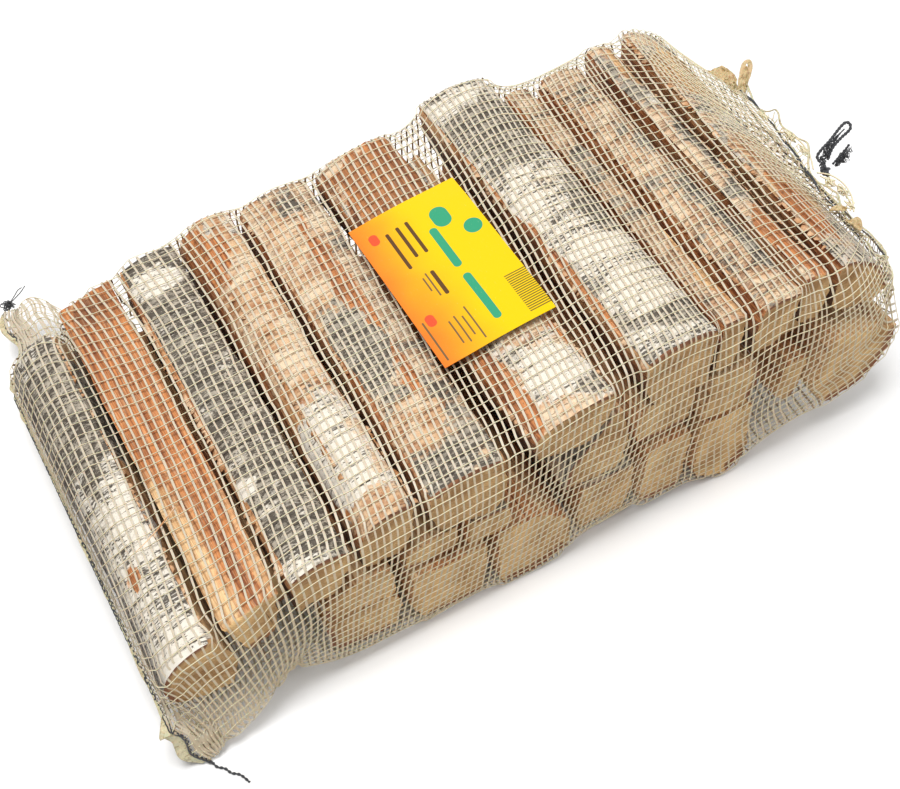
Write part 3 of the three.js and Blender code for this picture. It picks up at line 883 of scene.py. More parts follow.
def start_ring(share):
    """One tape's loop round the sack before it settles, at a share of the way to the mouth."""
    over = np.array([pair[0] for pair in SACK_OUTLINE], float)
    under = np.array([pair[1] for pair in SACK_OUTLINE], float)
    along = distances_along(over) + distances_along(under)
    along = along / along[-1]
    top_x, top_z = (np.interp(share, along, over[:, axis]) for axis in (0, 1))
    low_x, low_z = (np.interp(share, along, under[:, axis]) for axis in (0, 1))
    fold_x, fold_z = (top_x + low_x) / 2, (top_z + low_z) / 2
    ear_z = min(fold_z, EAR_HEIGHT)
    front_out = ear_reach(FRONT_EAR, fold_x)
    back_out = ear_reach(BACK_EAR, fold_x)
    over_way = [(top_x, NET_FRONT, top_z), (top_x, NET_BACK, top_z)]
    under_way = [(low_x, NET_BACK, low_z), (low_x, NET_FRONT, low_z)]
    front_fold = (fold_x, NET_FRONT, fold_z)
    if front_out > 1:
        drop = front_out * math.sin(FRONT_EAR_FALL)
        front_fold = (fold_x, NET_FRONT - front_out * math.cos(FRONT_EAR_FALL), ear_z - drop)
        over_way.insert(0, (fold_x, NET_FRONT, ear_z + EAR_HALF_THICKNESS))
        under_way.append((fold_x, NET_FRONT, ear_z - EAR_HALF_THICKNESS))
    back_fold = (fold_x, NET_BACK, fold_z)
    if back_out > 1:
        drop = back_out * math.sin(BACK_EAR_FALL)
        back_fold = (fold_x, NET_BACK + back_out * math.cos(BACK_EAR_FALL), ear_z - drop)
        over_way.append((fold_x, NET_BACK, ear_z + EAR_HALF_THICKNESS))
        under_way.insert(0, (fold_x, NET_BACK, ear_z - EAR_HALF_THICKNESS))
    upper = even_points([front_fold, *over_way, back_fold], HALF_ROUND + 1, False)
    lower = even_points([back_fold, *under_way, front_fold], HALF_ROUND + 1, False)
    return np.vstack([upper[:-1], lower[:-1]])


def mouth_ring():
    """The drawn-in mouth, with the threads crowded towards its front end."""
    line = smooth_curve([*MOUTH_ROUTE, MOUTH_ROUTE[0]], 2)
    along = distances_along(line)
    start = along[line[:, 1].argmin()] / along[-1]
    step = np.arange(THREAD_COUNT) / HALF_ROUND
    from_front = np.minimum(step, 2 - step) ** FRONT_CROWDING / 2
    marks = (start - np.where(step <= 1, from_front, 1 - from_front)) % 1
    return np.stack([np.interp(marks, along / along[-1], line[:, axis]) for axis in range(3)], -1)


def start_net():
    """Every crossing before the net settles, with the tapes aslant as the net is pulled askew."""
    shares = np.linspace(0, 1, TAPE_COUNT)
    rings = np.stack([start_ring(share) for share in shares])
    gather = np.clip((shares - MOUTH_START) / (1 - MOUTH_START), 0, 1)[:, None, None] ** 1.5
    rings = rings * (1 - gather) + mouth_ring() * gather
    rings[0] = seam_ring()
    blend = np.linspace(0, 1, FAN_ROWS + 1)[:, None, None]
    rings[: FAN_ROWS + 1] = rings[0] * (1 - blend) + rings[FAN_ROWS] * blend
    low = np.arange(THREAD_COUNT) > HALF_ROUND
    pull = np.clip(rings[..., 1] / NET_BACK, -1, 1)
    pull = pull * np.where(low, 1.6 - 0.3 * pull, 1.0)
    fade = np.interp(shares, [0, 0.2, 0.7, 1], [0, 0.45, 1, 0])[:, None]
    source = np.clip(shares[:, None] + SLANT * fade * pull, 0, 1) * (TAPE_COUNT - 1)
    base = np.clip(source.astype(int), 0, TAPE_COUNT - 2)
    part = (source - base)[..., None]
    columns = np.arange(THREAD_COUNT)[None]
    return rings[base, columns] * (1 - part) + rings[base + 1, columns] * part


def seam_ring():
    """The sewn edge: both layers together, from the front ear's tip to the back ear's tip."""
    line = even_points(smooth_curve(SEAM_ROUTE, 3), HALF_ROUND + 1, False)
    lift = np.array([0, 0, 0.7])
    return np.vstack([line[:-1] + lift, line[:0:-1] - lift])


def push_out(points, clearance):
    """Moves points in a log, or nearer to it than the clearance, out through its nearest face."""
    flat = points.reshape(-1, 3)
    for name in LOG_NAMES:
        normals, offsets = LOG_PLANES[name]
        low, high = LOG_BOUNDS[name]
        near = np.flatnonzero(np.all((flat > low - clearance) & (flat < high + clearance), axis=1))
        if not len(near):
            continue
        heights = flat[near] @ normals.T - offsets
        worst = heights.argmax(1)
        depth = clearance - heights[np.arange(len(near)), worst]
        inside = depth > 0
        flat[near[inside]] += normals[worst[inside]] * depth[inside, None]
    flat[:, 2] = np.maximum(flat[:, 2], FLOOR_CLEARANCE)
    return flat.reshape(points.shape)


def pull_together(points, first, second, rest, firmness, slack):
    """Brings neighbours to their rest distance. Slack is how hard they resist bunching."""
    a, b = points[first], points[second]
    gap = b - a
    distance = np.maximum(np.linalg.norm(gap, axis=-1, keepdims=True), 1e-6)
    error = distance - rest
    share = np.where(error > 0, firmness, slack)
    move = gap / distance * error * share * 0.5
    points[first] = a + move
    points[second] = b - move


def settle_net():
    """The crossings of tapes and threads, taut over the logs: TAPE_COUNT x THREAD_COUNT x 3."""
    net = start_net()
    sewn, mouth = net[0].copy(), net[-1].copy()
    pitch = np.linalg.norm(np.diff(net, axis=0), axis=-1, keepdims=True)
    for _ in range(12):
        pitch = (pitch + (np.roll(pitch, 1, axis=1) + np.roll(pitch, -1, axis=1)) / 2) / 2
        pitch[1:-1] = pitch[1:-1] * 0.5 + (pitch[:-2] + pitch[2:]) * 0.25
    pitch = np.clip(pitch * 0.97, 4.0, 6.4)
    start_shape = net.copy()
    corners = (net[..., 1] > NET_BACK + 3) | (net[..., 1] < NET_FRONT - 3)
    every = slice(None)
    for _ in range(RELAX_ROUNDS):
        for start in (0, 1):
            first = np.arange(start, THREAD_COUNT, 2)
            second = (first + 1) % THREAD_COUNT
            pull_together(net, (every, first), (every, second), THREAD_PITCH, 0.95, 0.04)
        for start in (0, 1):
            first = np.arange(start, TAPE_COUNT - 1, 2)
            pull_together(net, (first, every), (first + 1, every), pitch[first], 0.95, 0.5)
        smooth = (np.roll(net, 1, axis=1) + np.roll(net, -1, axis=1))[1:-1] + net[:-2] + net[2:]
        net[1:-1] += 0.04 * (smooth / 4 - net[1:-1])
        net[1:-1, :, 2] -= 0.015
        net[corners] += EAR_HOLD * (start_shape[corners] - net[corners])
        net[0], net[-1] = sewn, mouth
        net = push_out(net, NET_CLEARANCE)
    return net


# ---- The net: its tapes and threads ----

TAPE_WIDTH = 1.6
THREAD_RADIUS = 0.41
# Where drawn-in tapes are nearer than this, in mm, some are left out.
CROWDED = 4.4
TAPE_CLEARANCE = 0.9
THREAD_CLEARANCE = 1.3
THREAD_LIFT = 0.35
# How many points a tape or thread has for each crossing.
TAPE_SPLITS = 3
THREAD_SPLITS = 2
THREAD_SIDES = 3


def refine(grid, factor, axis, closed):
    """Catmull-Rom points between the neighbours of a grid along one axis."""
    line = np.moveaxis(grid, axis, 0)
    if closed:
        before, after, last = np.roll(line, 1, 0), np.roll(line, -1, 0), np.roll(line, -2, 0)
        begin = line
    else:
        ends = np.concatenate([2 * line[:1] - line[1:2], line, 2 * line[-1:] - line[-2:-1]])
        before, begin, after, last = ends[:-3], ends[1:-2], ends[2:-1], ends[3:]
    pieces = [catmull_rom(before, begin, after, last, t) for t in np.arange(factor) / factor]
    fine = np.stack(pieces, 1).reshape(-1, *line.shape[1:])
    if not closed:
        fine = np.concatenate([fine, line[-1:]])
    return np.moveaxis(fine, 0, axis)


def grid_directions(grid):
    """Unit directions along the sack, round it, and out of it, at every point of a net grid."""
    padded = np.concatenate([2 * grid[:1] - grid[1:2], grid, 2 * grid[-1:] - grid[-2:-1]])
    ahead = unit(padded[2:] - padded[:-2])
    around = unit(np.roll(grid, -1, axis=1) - np.roll(grid, 1, axis=1))
    outward = unit(np.cross(ahead, around))
    return ahead, around, outward


def vary_net(net):
    """Small uneven shifts of the crossings, as in a net that has been handled."""
    ahead, around, _ = grid_directions(net)
    rows, columns = np.meshgrid(np.arange(net.shape[0]), np.arange(net.shape[1]), indexing="ij")
    place = np.stack([rows * TAPE_PITCH, columns * THREAD_PITCH], -1)
    drift = value_noise(place / [45, 60], 5)[..., None] * 1.3
    jitter = value_noise(place / [7, 11], 6)[..., None] * 0.45
    slide = value_noise(place / [50, 40], 8)[..., None] * 1.8
    quiver = value_noise(place / [8, 10], 9)[..., None] * 0.5
    moved = net + ahead * (drift + jitter) + around * (slide + quiver)
    past_logs = np.clip((np.abs(net[..., 1:2] - 3) - 164) / 8, 0, 1)
    loose = past_logs * np.clip(-net[..., :1] / 100, 0, 1)
    moved = moved + loose * noise_vectors(net / [7, 8, 6], (14, 15, 16)) * [2.8, 2.0, 2.4]
    moved[0], moved[-1] = net[0], net[-1]
    return moved


def crowded_tapes(line):
    """Where every other tape is left out, because the drawn-in tapes lie over each other there."""
    gaps = np.linalg.norm(np.diff(line, axis=0), axis=-1)
    beside = np.full(line.shape[:2], 9.0)
    beside[1:-1] = (gaps[:-1] + gaps[1:]) / 2
    for _ in range(12):
        beside = (beside + np.roll(beside, 1, axis=1) + np.roll(beside, -1, axis=1)) / 3
    row = np.arange(len(line))[:, None]
    crowded = ((row % 2 == 1) & (beside < CROWDED) | (row % 4 == 2) & (beside < CROWDED * 0.75)
               | (row % 8 == 4) & (beside < CROWDED * 0.5))
    return crowded & (row > len(line) * 0.7)


def build_tapes(net, material):
    """The flat tapes that run round the sack, a little uneven in width and twist."""
    line = push_out(refine(net, TAPE_SPLITS, 1, True), TAPE_CLEARANCE)
    ahead, around, outward = grid_directions(line)
    rows, columns = line.shape[:2]
    row, column = np.meshgrid(np.arange(rows), np.arange(columns), indexing="ij")
    place = np.stack([row * 3.1, column / TAPE_SPLITS], -1)
    width = TAPE_WIDTH * (1 + 0.16 * value_noise(place / [1, 9], 11))
    twist = np.radians(16) * value_noise(place / [1, 6], 12)
    across = unit(ahead - around * np.sum(ahead * around, -1, keepdims=True))
    side = across * np.cos(twist)[..., None] + outward * np.sin(twist)[..., None]
    reach = side * (width / 2)[..., None]
    vertices = np.stack([line - reach, line + reach], 2)
    first = strip_faces(columns, 2, loop_rows=True)
    faces = first + (np.arange(rows) * columns * 2)[:, None, None]
    faces = faces[~crowded_tapes(line)]
    tapes = make_piece("net_tapes", vertices.reshape(-1, 3), faces, [material], "net", ["net_sack"])
    along = np.zeros((rows, columns, 2, 3))
    along[..., 0] = (column * THREAD_PITCH / TAPE_SPLITS * MM)[..., None]
    along[..., 1] = (np.array([-1, 1]) * TAPE_WIDTH / 2 * MM)[None, None]
    along[..., 2] = row[..., None] * 0.37
    add_vectors(tapes, "along", along.reshape(-1, 3))
    return tapes


def build_threads(name, net, columns, material):
    """The threads that run from the sewn end to the mouth, over the tapes."""
    line = refine(net, THREAD_SPLITS, 0, False)
    _, round_way, out_way = (part[:, columns] for part in grid_directions(line))
    lift = refine(grid_directions(net)[2], THREAD_SPLITS, 0, False)
    line = (push_out(line, THREAD_CLEARANCE) + lift * THREAD_LIFT)[:, columns]
    rows = len(line)
    turns = np.arange(THREAD_SIDES) * 2 * np.pi / THREAD_SIDES + np.pi / 2
    place = np.stack(np.meshgrid(np.arange(rows) / 5, columns * 2.7, indexing="ij"), -1)
    radius = THREAD_RADIUS * (1 + 0.22 * value_noise(place, 13))
    section = (round_way[:, :, None] * np.cos(turns)[:, None] * 1.25
               + out_way[:, :, None] * np.sin(turns)[:, None] * 0.85)
    vertices = np.moveaxis(line[:, :, None] + section * radius[..., None, None], 1, 0)
    first = strip_faces(rows, THREAD_SIDES, loop_columns=True)
    faces = (first + (np.arange(len(columns)) * rows * THREAD_SIDES)[:, None, None]).reshape(-1, 4)
    threads = make_piece(name, vertices.reshape(-1, 3), faces, [material], "net")
    along = np.zeros((len(columns), rows, THREAD_SIDES, 3))
    along[..., 0] = (np.arange(rows) * TAPE_PITCH / THREAD_SPLITS * MM)[None, :, None]
    along[..., 1] = np.arange(THREAD_SIDES) * 0.0004
    along[..., 2] = (columns * 0.53)[:, None, None]
    add_vectors(threads, "along", along.reshape(-1, 3))
    return threads


# ---- Cords and threads ----


def frames_along(points, closed=False):
    """Two directions across a line at each of its points, carried along without twisting."""
    if closed:
        tangents = unit(np.roll(points, -1, 0) - np.roll(points, 1, 0))
    else:
        tangents = unit(np.gradient(points, axis=0))
    side = np.cross(tangents[0], [0.1, 0.2, 1.0])
    sides = []
    for tangent in tangents:
        side = side - tangent * np.dot(side, tangent)
        side = side / np.linalg.norm(side)
        sides.append(side)
    sides = np.array(sides)
    return sides, np.cross(tangents, sides)


def tube_mesh(points, radius, sides=8, closed=False, lobes=0.0, pitch=6.0, flat=1.0):
    """A tube along a line. With lobes it is two strands that turn once every pitch mm."""
    points = np.asarray(points, float)
    across, up = frames_along(points, closed)
    along = distances_along(points)
    turns = np.arange(sides) * 2 * np.pi / sides
    swell = 1 - lobes + lobes * np.cos(2 * (turns[None] - along[:, None] * 2 * np.pi / pitch))
    radius = np.broadcast_to(np.asarray(radius, float).reshape(-1, 1), (len(points), 1))
    reach = radius * swell
    vertices = (points[:, None] + across[:, None] * (np.cos(turns) * reach)[..., None]
                + up[:, None] * (np.sin(turns) * reach * flat)[..., None])
    return vertices.reshape(-1, 3), tube_faces(len(points), sides, closed)


def join_meshes(parts):
    """Several (vertices, faces) pairs as one."""
    vertices, faces, start = [], [], 0
    for points, polygons in parts:
        vertices.append(points)
        faces.extend(tuple(int(v) + start for v in face) for face in polygons)
        start += len(points)
    return np.vstack(vertices), faces


SEAM_TAIL_ROUTE = [
    (-269, -174, 1.8), (-267.5, -178, 1.3), (-263, -182, 1.2), (-260.5, -187, 1.2), (-255.5, -191.5, 1.2),
    (-252, -199.5, 1.2),
]
LOOP_ROUTE = [
    (329.5, -42.5, 191.5), (329.2, -38, 194), (333, -36.5, 198), (341, -35.5, 203.5), (348.6, -33.6, 209),
    (353, -32.8, 212), (356.4, -33, 213.4), (358.3, -35.3, 212.5), (357.2, -37.8, 210.4), (353.8, -38.4, 208),
    (348.6, -38.6, 204.8), (341, -40, 199.2), (335.3, -43.6, 192.4),
]
TASSEL_ROUTE = [(337.5, -49.5, 190.5), (342, -49.5, 195.5), (346.5, -49.3, 200.5), (350.5, -48.8, 205)]
BOW_MIDDLE = [
    (332, -42, 191.5), (335, -39.8, 195.6), (341, -37.8, 201.4), (348.6, -36.1, 206.9), (353.4, -35.6, 210),
]
SEAM_TAIL_DIAMETER = 2.2
LOOP_DIAMETER = 2.8
DRAWSTRING_DIAMETER = 3.6
STITCH_LENGTH = 4.6
STITCH_THREAD = 0.62
FRAYED_THREAD = 0.26


def build_seam_tail(material):
    """The loose end of the stitching at the front corner."""
    path = smooth_curve(SEAM_TAIL_ROUTE, 0.6)
    tube = tube_mesh(path, SEAM_TAIL_DIAMETER / 2, 10, lobes=0.34, pitch=7.0)
    tail = make_piece("seam_tail_thread", *tube, [material], "stitch_thread", ["seam_tail"])


def build_drawstring_loop(material):
    """The bow that stands out of the drawstring's knot."""
    path = smooth_curve(LOOP_ROUTE, 0.7)
    tube = tube_mesh(path, LOOP_DIAMETER / 2, 10, lobes=0.2, pitch=5.5)
    loop = make_piece("drawstring_bow", *tube, [material], "drawstring", ["drawstring_loop"])


# Where the braid lies flat and open along the mouth's upper side, from and to in Y.
BRAID_SHOWS = [(66, 40), (-2, -54)]


def build_drawstring(material):
    """A flat braid that dips in and out of the net round the mouth."""
    route = smooth_curve([*MOUTH_ROUTE, MOUTH_ROUTE[0]], 1.6)[:-1]
    up = frames_along(route, True)[1]
    marks = np.arange(len(route)) * 1.6
    route = route + up * (0.9 * np.sin(marks * 2 * np.pi / 31))[:, None]
    upper = route[:, 2] > 176
    shown = np.zeros(len(route))
    for start, end in BRAID_SHOWS:
        away = np.abs(route[:, 1] - (start + end) / 2) / abs(end - start) * 2
        shown = np.maximum(shown, np.clip(1.5 - away, 0, 1))
    radius = DRAWSTRING_DIAMETER / 2 * np.where(upper, 0.4 + 0.5 * shown, 0.45)
    tube = tube_mesh(route, radius, 10, closed=True, lobes=0.10, pitch=4.5, flat=0.62)
    make_piece("drawstring_braid", *tube, [material], "drawstring", ["drawstring"])


def tangle(centre, reach, loops, thread, seed, squeeze=(1, 1, 1)):
    """A small knot of thread: one line that winds about inside an egg shape."""
    draw = np.random.default_rng(seed)
    t = np.linspace(0, 2 * np.pi, loops * 26, endpoint=False)
    line = np.zeros((len(t), 3))
    for turns in range(2, 2 + loops):
        phase = draw.uniform(0, 2 * np.pi, 3)
        weight = draw.uniform(0.5, 1.0, 3) / loops * 1.7
        line += np.cos(t[:, None] * turns + phase) * weight
    line = line / np.maximum(1, np.linalg.norm(line, axis=1, keepdims=True))
    return tube_mesh(np.asarray(centre) + line * reach * np.asarray(squeeze), thread, 6, closed=True)


# The tangles of each knot: middle, reach, loops, thread radius, seed, and squeeze along X, Y and Z.
SEAM_KNOT_TANGLES = [
    ((-259, 276, 37), 7.4, 7, 0.42, 3, (1, 0.85, 0.7)),
    ((-259, 275, 37), 5.2, 6, 0.5, 4, (1, 0.85, 0.7)),
    ((-261, 272, 37), 4.0, 4, 0.5, 9, (1, 0.85, 0.7)),
]
SEAM_KNOT_ENDS = [
    [(-256, 276, 38), (-250, 277, 41), (-245, 279.5, 42), (-240, 281.5, 45)],
    [(-256, 277, 38), (-251, 280, 40), (-247, 281.5, 43), (-243, 282, 44)],
]
DRAWSTRING_KNOT_TANGLES = [
    ((330.4, -48.9, 187), 4.8, 6, 0.95, 7, (1, 0.9, 0.9)),
    ((330.4, -48.9, 187), 3.2, 4, 1.1, 8, (1, 0.9, 0.9)),
    ((331.5, -43.5, 190), 3.4, 5, 0.5, 12, (1, 1.1, 0.9)),
]


def build_knots(material):
    """The knot at the back corner, with its two cut ends, and the drawstring's knot."""
    ends = [tube_mesh(smooth_curve(end, 1.0), 0.42, 6) for end in SEAM_KNOT_ENDS]
    knot = join_meshes([*[tangle(*each) for each in SEAM_KNOT_TANGLES], *ends])
    make_piece("seam_knot_thread", *knot, [material], "stitch_thread", ["seam_knot"])
    knot = join_meshes([tangle(*each) for each in DRAWSTRING_KNOT_TANGLES])
    make_piece("drawstring_knot_cord", *knot, [material], "drawstring", ["drawstring_knot"])


def crinkled_line(core, swell, waves, phase, rise=0.0):
    """A line that winds round a core line. Swell is how far out it goes at each point, in mm."""
    across, up = frames_along(core)
    turn = np.linspace(0, 1, len(core))[:, None] * 2 * np.pi * waves + phase
    out = np.stack([swell * np.cos(turn[:, 0]), rise + swell * np.sin(turn[:, 1])], -1)
    return core + across * out[:, :1] + up * out[:, 1:]


def build_tassel(material):
    """The drawstring's frayed end: a bent strand beside two bunches of thin crinkled threads."""
    draw = np.random.default_rng(21)
    core = smooth_curve(TASSEL_ROUTE, 0.7)
    across, up = frames_along(core)
    share = np.linspace(0, 1, len(core))
    strands = [tube_mesh(core - up * 1.5 - across * 0.6, 1.05, 8, lobes=0.2, pitch=5.0)]
    for _ in range(22):
        phase = draw.uniform(0, 2 * np.pi, 2)
        waves = draw.uniform(1.5, 5.0, 2)
        swell = draw.uniform(1.2, 4.0) * np.sin(np.clip(share * 1.1, 0, 1) * np.pi * 0.8 + 0.15)
        keep = int(len(core) * draw.uniform(0.6, 1.0))
        line = crinkled_line(core, swell, waves, phase, rise=1.2)
        strands.append(tube_mesh(line[: max(keep, 6)], FRAYED_THREAD, 5))
    core = smooth_curve(BOW_MIDDLE, 0.8)
    share = np.linspace(0, 1, len(core))
    for _ in range(16):
        phase = draw.uniform(0, 2 * np.pi, 2)
        waves = draw.uniform(3.0, 8.0, 2)
        swell = draw.uniform(1.0, 2.8) * np.sin(np.pi * np.clip(0.15 + share, 0, 1) ** 0.6) + 0.3
        strands.append(tube_mesh(crinkled_line(core, swell, waves, phase), FRAYED_THREAD, 5))
    return make_piece(
        "drawstring_tassel_threads", *join_meshes(strands), [material], "drawstring", ["drawstring_tassel"],
    )


def build_seam_stitch(material):
    """Chain stitch along the sewn edge: long narrow loops, each one through the last."""
    line = smooth_curve([(-269.3, -173.4, 2.0), *SEAM_ROUTE], 1.0)
    count = int(distances_along(line)[-1] / STITCH_LENGTH)
    marks = even_points(line, count + 1, False)
    sides, ups = frames_along(marks)
    draw = np.random.default_rng(5)
    links = []
    t = np.linspace(0, 2 * np.pi, 12, endpoint=False)
    for begin, end, side, up in zip(marks, marks[1:], sides, ups):
        way = end - begin
        lean = draw.uniform(-0.5, 0.5)
        flat_way = side * math.cos(lean) + up * math.sin(lean)
        centre = (begin + end) / 2 + np.array([-0.6, 0, 0])
        link = centre + way * 0.66 * np.cos(t)[:, None] + flat_way * (0.85 * np.sin(t))[:, None]
        links.append(tube_mesh(link, STITCH_THREAD, 5, closed=True))
    weave = 0.8 * np.sin(np.arange(len(line)) * 2 * np.pi / STITCH_LENGTH)
    needle = line + np.array([0.3, 0, 0]) + frames_along(line)[1] * weave[:, None]
    links.append(tube_mesh(needle, STITCH_THREAD, 5))
    make_piece("seam_stitching", *join_meshes(links), [material], "stitch_thread", ["seam_thread"])


# ---- Label card ----

CARD_WIDTH = 90.0
CARD_LENGTH = 147.0
CARD_THICKNESS = 0.45
# Plain marks printed on the card, as (across from the orange edge, down from the back edge, width
# across, length down, round corner, colour name), in mm.
CARD_INK = {
    "green": (0.004, 0.30, 0.17),
    "dark": (0.075, 0.035, 0.018),
    "red": (0.66, 0.075, 0.03),
    "grey": (0.15, 0.10, 0.045),
}
CARD_MARKS = [
    (52, 56, 6.4, 42, 3.1, "green"), (52, 109, 6.4, 48, 3.1, "green"),
    (63, 29, 14, 20, 6.9, "green"), (79, 50, 14, 14, 6.9, "green"),
    (39, 35, 2.8, 34, 1.3, "dark"), (31, 35, 2.8, 33, 1.3, "dark"), (22, 39, 2.8, 39, 1.3, "dark"),
    (33, 81, 3.2, 25, 1.5, "dark"), (28, 80, 1.3, 24, 0.6, "grey"), (24.5, 78, 1.3, 14, 0.6, "grey"),
    (36, 126, 1.3, 32, 0.6, "grey"), (31, 126, 1.3, 19, 0.6, "grey"), (26, 126, 1.3, 26, 0.6, "grey"),
    (21, 126, 1.3, 22, 0.6, "grey"),
    (12, 19, 7, 11, 3.4, "red"), (11, 107, 7, 11, 3.4, "red"), (5, 124, 1.5, 38, 0.7, "grey"),
]
# Even stripes, all alike: where they are and their field's size, as above, and how far apart.
BAR_FIELD = (81.5, 122.5, 17.0, 38.0)
BAR_PITCH = 2.0


def card_material():
    """Glossy printed card: yellow to orange, with plain blocks where its printing would be."""
    n = Nodes("label_card")
    place = n.attribute("card").outputs["Vector"]
    across, down, _ = n.parts(place)

    def away(value, middle):
        return n.math("ABSOLUTE", n.minus(value, middle))

    drift = n.times(n.minus(n.noise(place, 0.018, 2.0), 0.5), 34.0)
    blend = n.ramp(n.plus(n.minus(across, n.times(down, 0.05)), drift), -16.0, 50.0)
    color = n.mix(blend, (0.80, 0.165, 0.022), (0.80, 0.53, 0.002))
    for middle_across, middle_down, wide, long, corner, ink in CARD_MARKS:
        past_x = n.math("MAXIMUM", n.minus(away(across, middle_across), wide / 2 - corner), 0.0)
        past_y = n.math("MAXIMUM", n.minus(away(down, middle_down), long / 2 - corner), 0.0)
        reach = n.math("SQRT", n.plus(n.times(past_x, past_x), n.times(past_y, past_y)))
        inside = n.ramp(n.minus(corner, reach), -0.15, 0.15)
        color = n.mix(n.times(inside, 0.96), color, CARD_INK[ink])
    bar_across, bar_down, bar_wide, bar_long = BAR_FIELD
    field_x = n.math("LESS_THAN", away(across, bar_across), bar_wide / 2)
    field_y = n.math("LESS_THAN", away(down, bar_down), bar_long / 2)
    stripe = n.ramp(n.math("SINE", n.times(down, 2 * math.pi / BAR_PITCH)), -0.1, 0.1)
    bars = n.times(n.times(n.times(field_x, field_y), stripe), 0.85)
    color = n.mix(bars, color, (0.07, 0.055, 0.02))
    scuffs = n.noise(place, (0.9, 0.25, 1.0), 4.0, 0.7)
    color = n.mix(n.times(n.ramp(scuffs, 0.6, 0.8), 0.18), color, (0.98, 0.85, 0.6))
    ripple = n.noise(place, 0.05, 3.0)
    return n.finish(
        color, n.mix(scuffs, (0.35,) * 3, (0.55,) * 3), n.bump(ripple, 0.3, 0.002),
        Specular_IOR_Level=0.12, Coat_Weight=0.04, Coat_Roughness=0.3,
    )


def build_label():
    """The card lies on the net over two logs, and bends a little with them."""
    low, high = (from_row(corner) for corner in (label_low, label_high))
    rise = high[2] - low[2] - 0.6
    run = high[0] - low[0]
    columns, rows = 31, 50
    u, v = np.meshgrid(np.linspace(0, 1, columns), np.linspace(0, 1, rows), indexing="ij")
    x = low[0] + run * u
    y = high[1] - (high[1] - low[1]) * v
    z = low[2] + 0.3 + rise * u
    z = z + 1.3 * np.sin(np.pi * u) * (0.6 + 0.4 * np.cos(2.2 * np.pi * v)) - 0.8 * (2 * v - 1) ** 2
    z = z + 0.35 * value_noise(np.stack([u * 4, v * 6], -1), 31)
    top = np.stack([x, y, z + 1.2], -1).reshape(-1, 3)
    bottom = top - [0, 0, CARD_THICKNESS]
    faces = sheet_faces(columns, rows, turned=True)
    card = make_piece(
        "label_print", np.vstack([top, bottom]), faces, [card_material()], "label_card", ["label"],
    )
    card.data.set_sharp_from_angle(angle=math.radians(40))
    spot = np.stack([u * CARD_WIDTH, v * CARD_LENGTH, np.zeros_like(u)], -1).reshape(-1, 3)
    add_vectors(card, "card", np.vstack([spot, spot]))


# ---- Hems of the net and loose bark ----


def hem_material(name, deep, pale):
    """Frayed, folded net at the sewn edge and the mouth."""
    n = Nodes(name)
    place = n.add("ShaderNodeTexCoord").outputs["Object"]
    weave = n.noise(place, (900.0, 900.0, 900.0), 3.0, 0.6)
    blotch = n.noise(place, 70.0, 3.0, 0.6)
    folds = n.noise(place, (330.0, 330.0, 330.0), 4.0, 0.65, 0.8)
    color = n.mix(weave, deep, pale)
    color = n.mix(n.times(blotch, 0.5), color, (0.62, 0.56, 0.31))
    # Painted shade: dark olive-brown creases where the folds noise is high.
    color = n.mix(n.times(n.ramp(folds, 0.5, 0.66), 0.75), color, (0.30, 0.22, 0.09))
    return n.finish(color, 0.5, n.bump(folds, 0.9, 0.0015), Subsurface_Weight=0.15, Subsurface_Scale=0.003)


# Where the folded edge stands out further: middle and half length along Y, and how far, in mm.
SEAM_TABS = [(-163, 8.5, 7.0), (183, 9.0, 4.0), (245, 22.0, 3.5)]
SEAM_HEM_COLUMNS = 5
SEAM_HEM_THICKNESS = 0.7


def build_seam_hem(material):
    """The folded edge of both layers, which stands out a few millimetres past the stitching."""
    line = smooth_curve(SEAM_ROUTE, 1.4)
    out = np.array([-1.0, 0, 0])
    marks = np.arange(len(line)) * 1.4 / 16
    width = 1.3 + 1.6 * np.clip(noise_along(marks, 41) + 0.1, 0, 1)
    for middle, half, wide in SEAM_TABS:
        width = width + wide * np.exp(-(((line[:, 1] - middle) / half) ** 4))
    wave = (noise_along(marks * 3.1, 42) * 1.5 + noise_along(marks * 1.6, 43) * 1.2)[:, None]
    steps = np.linspace(0, 1, SEAM_HEM_COLUMNS)
    spread = out * (width[:, None] * steps)[..., None]
    tab = np.clip(width / 4, 0, 1.6)[:, None]
    lift = np.array([0, -0.4, 1.0]) * (wave * tab * steps ** 1.5)[..., None]
    top = line[:, None] + spread + lift + [0, 0, SEAM_HEM_THICKNESS / 2]
    vertices = np.concatenate([top, (top - [0, 0, SEAM_HEM_THICKNESS])[:, ::-1]], 1)
    faces = [face[::-1] for face in tube_faces(len(line), 2 * SEAM_HEM_COLUMNS)]
    return make_piece("seam_hem", vertices.reshape(-1, 3), faces, [material], "net")


# The net beyond the drawstring: how tall it stands, in mm, at places along the mouth's upper
# side, as (Y, height), and along its under side.
HEM_HEIGHTS = [
    (-126, 4), (-112, 8), (-98, 6), (-84, 10), (-70, 12), (-58, 8), (-46, 4), (-34, 8), (-16, 12), (6, 13),
    (26, 7), (34, 2), (42, 2), (52, 7), (62, 12),
]
HEM_UNDER = 4.0
HEM_ROWS = 4
HEM_THICKNESS = 0.45
# Loose crumpled folds of the hem: middle, direction along, direction out, length, height.
HEM_FOLDS = [
    ((327, 80, 183), (-0.12, 1, -0.10), (0.75, 0.1, 0.65), 34, 9),
    ((326, 68, 184), (0.1, 1, 0.1), (0.3, 0.35, 0.82), 18, 7),
    ((311, -88, 188), (0.8, -0.5, 0.1), (0.4, 0.7, 0.5), 13, 4),
    ((314, -103, 184), (0.35, -1, -0.2), (0.7, 0.2, 0.6), 14, 7),
    ((330, 59, 186), (0.55, -0.75, 0.1), (0.58, 0.53, 0.62), 8, 20),
]
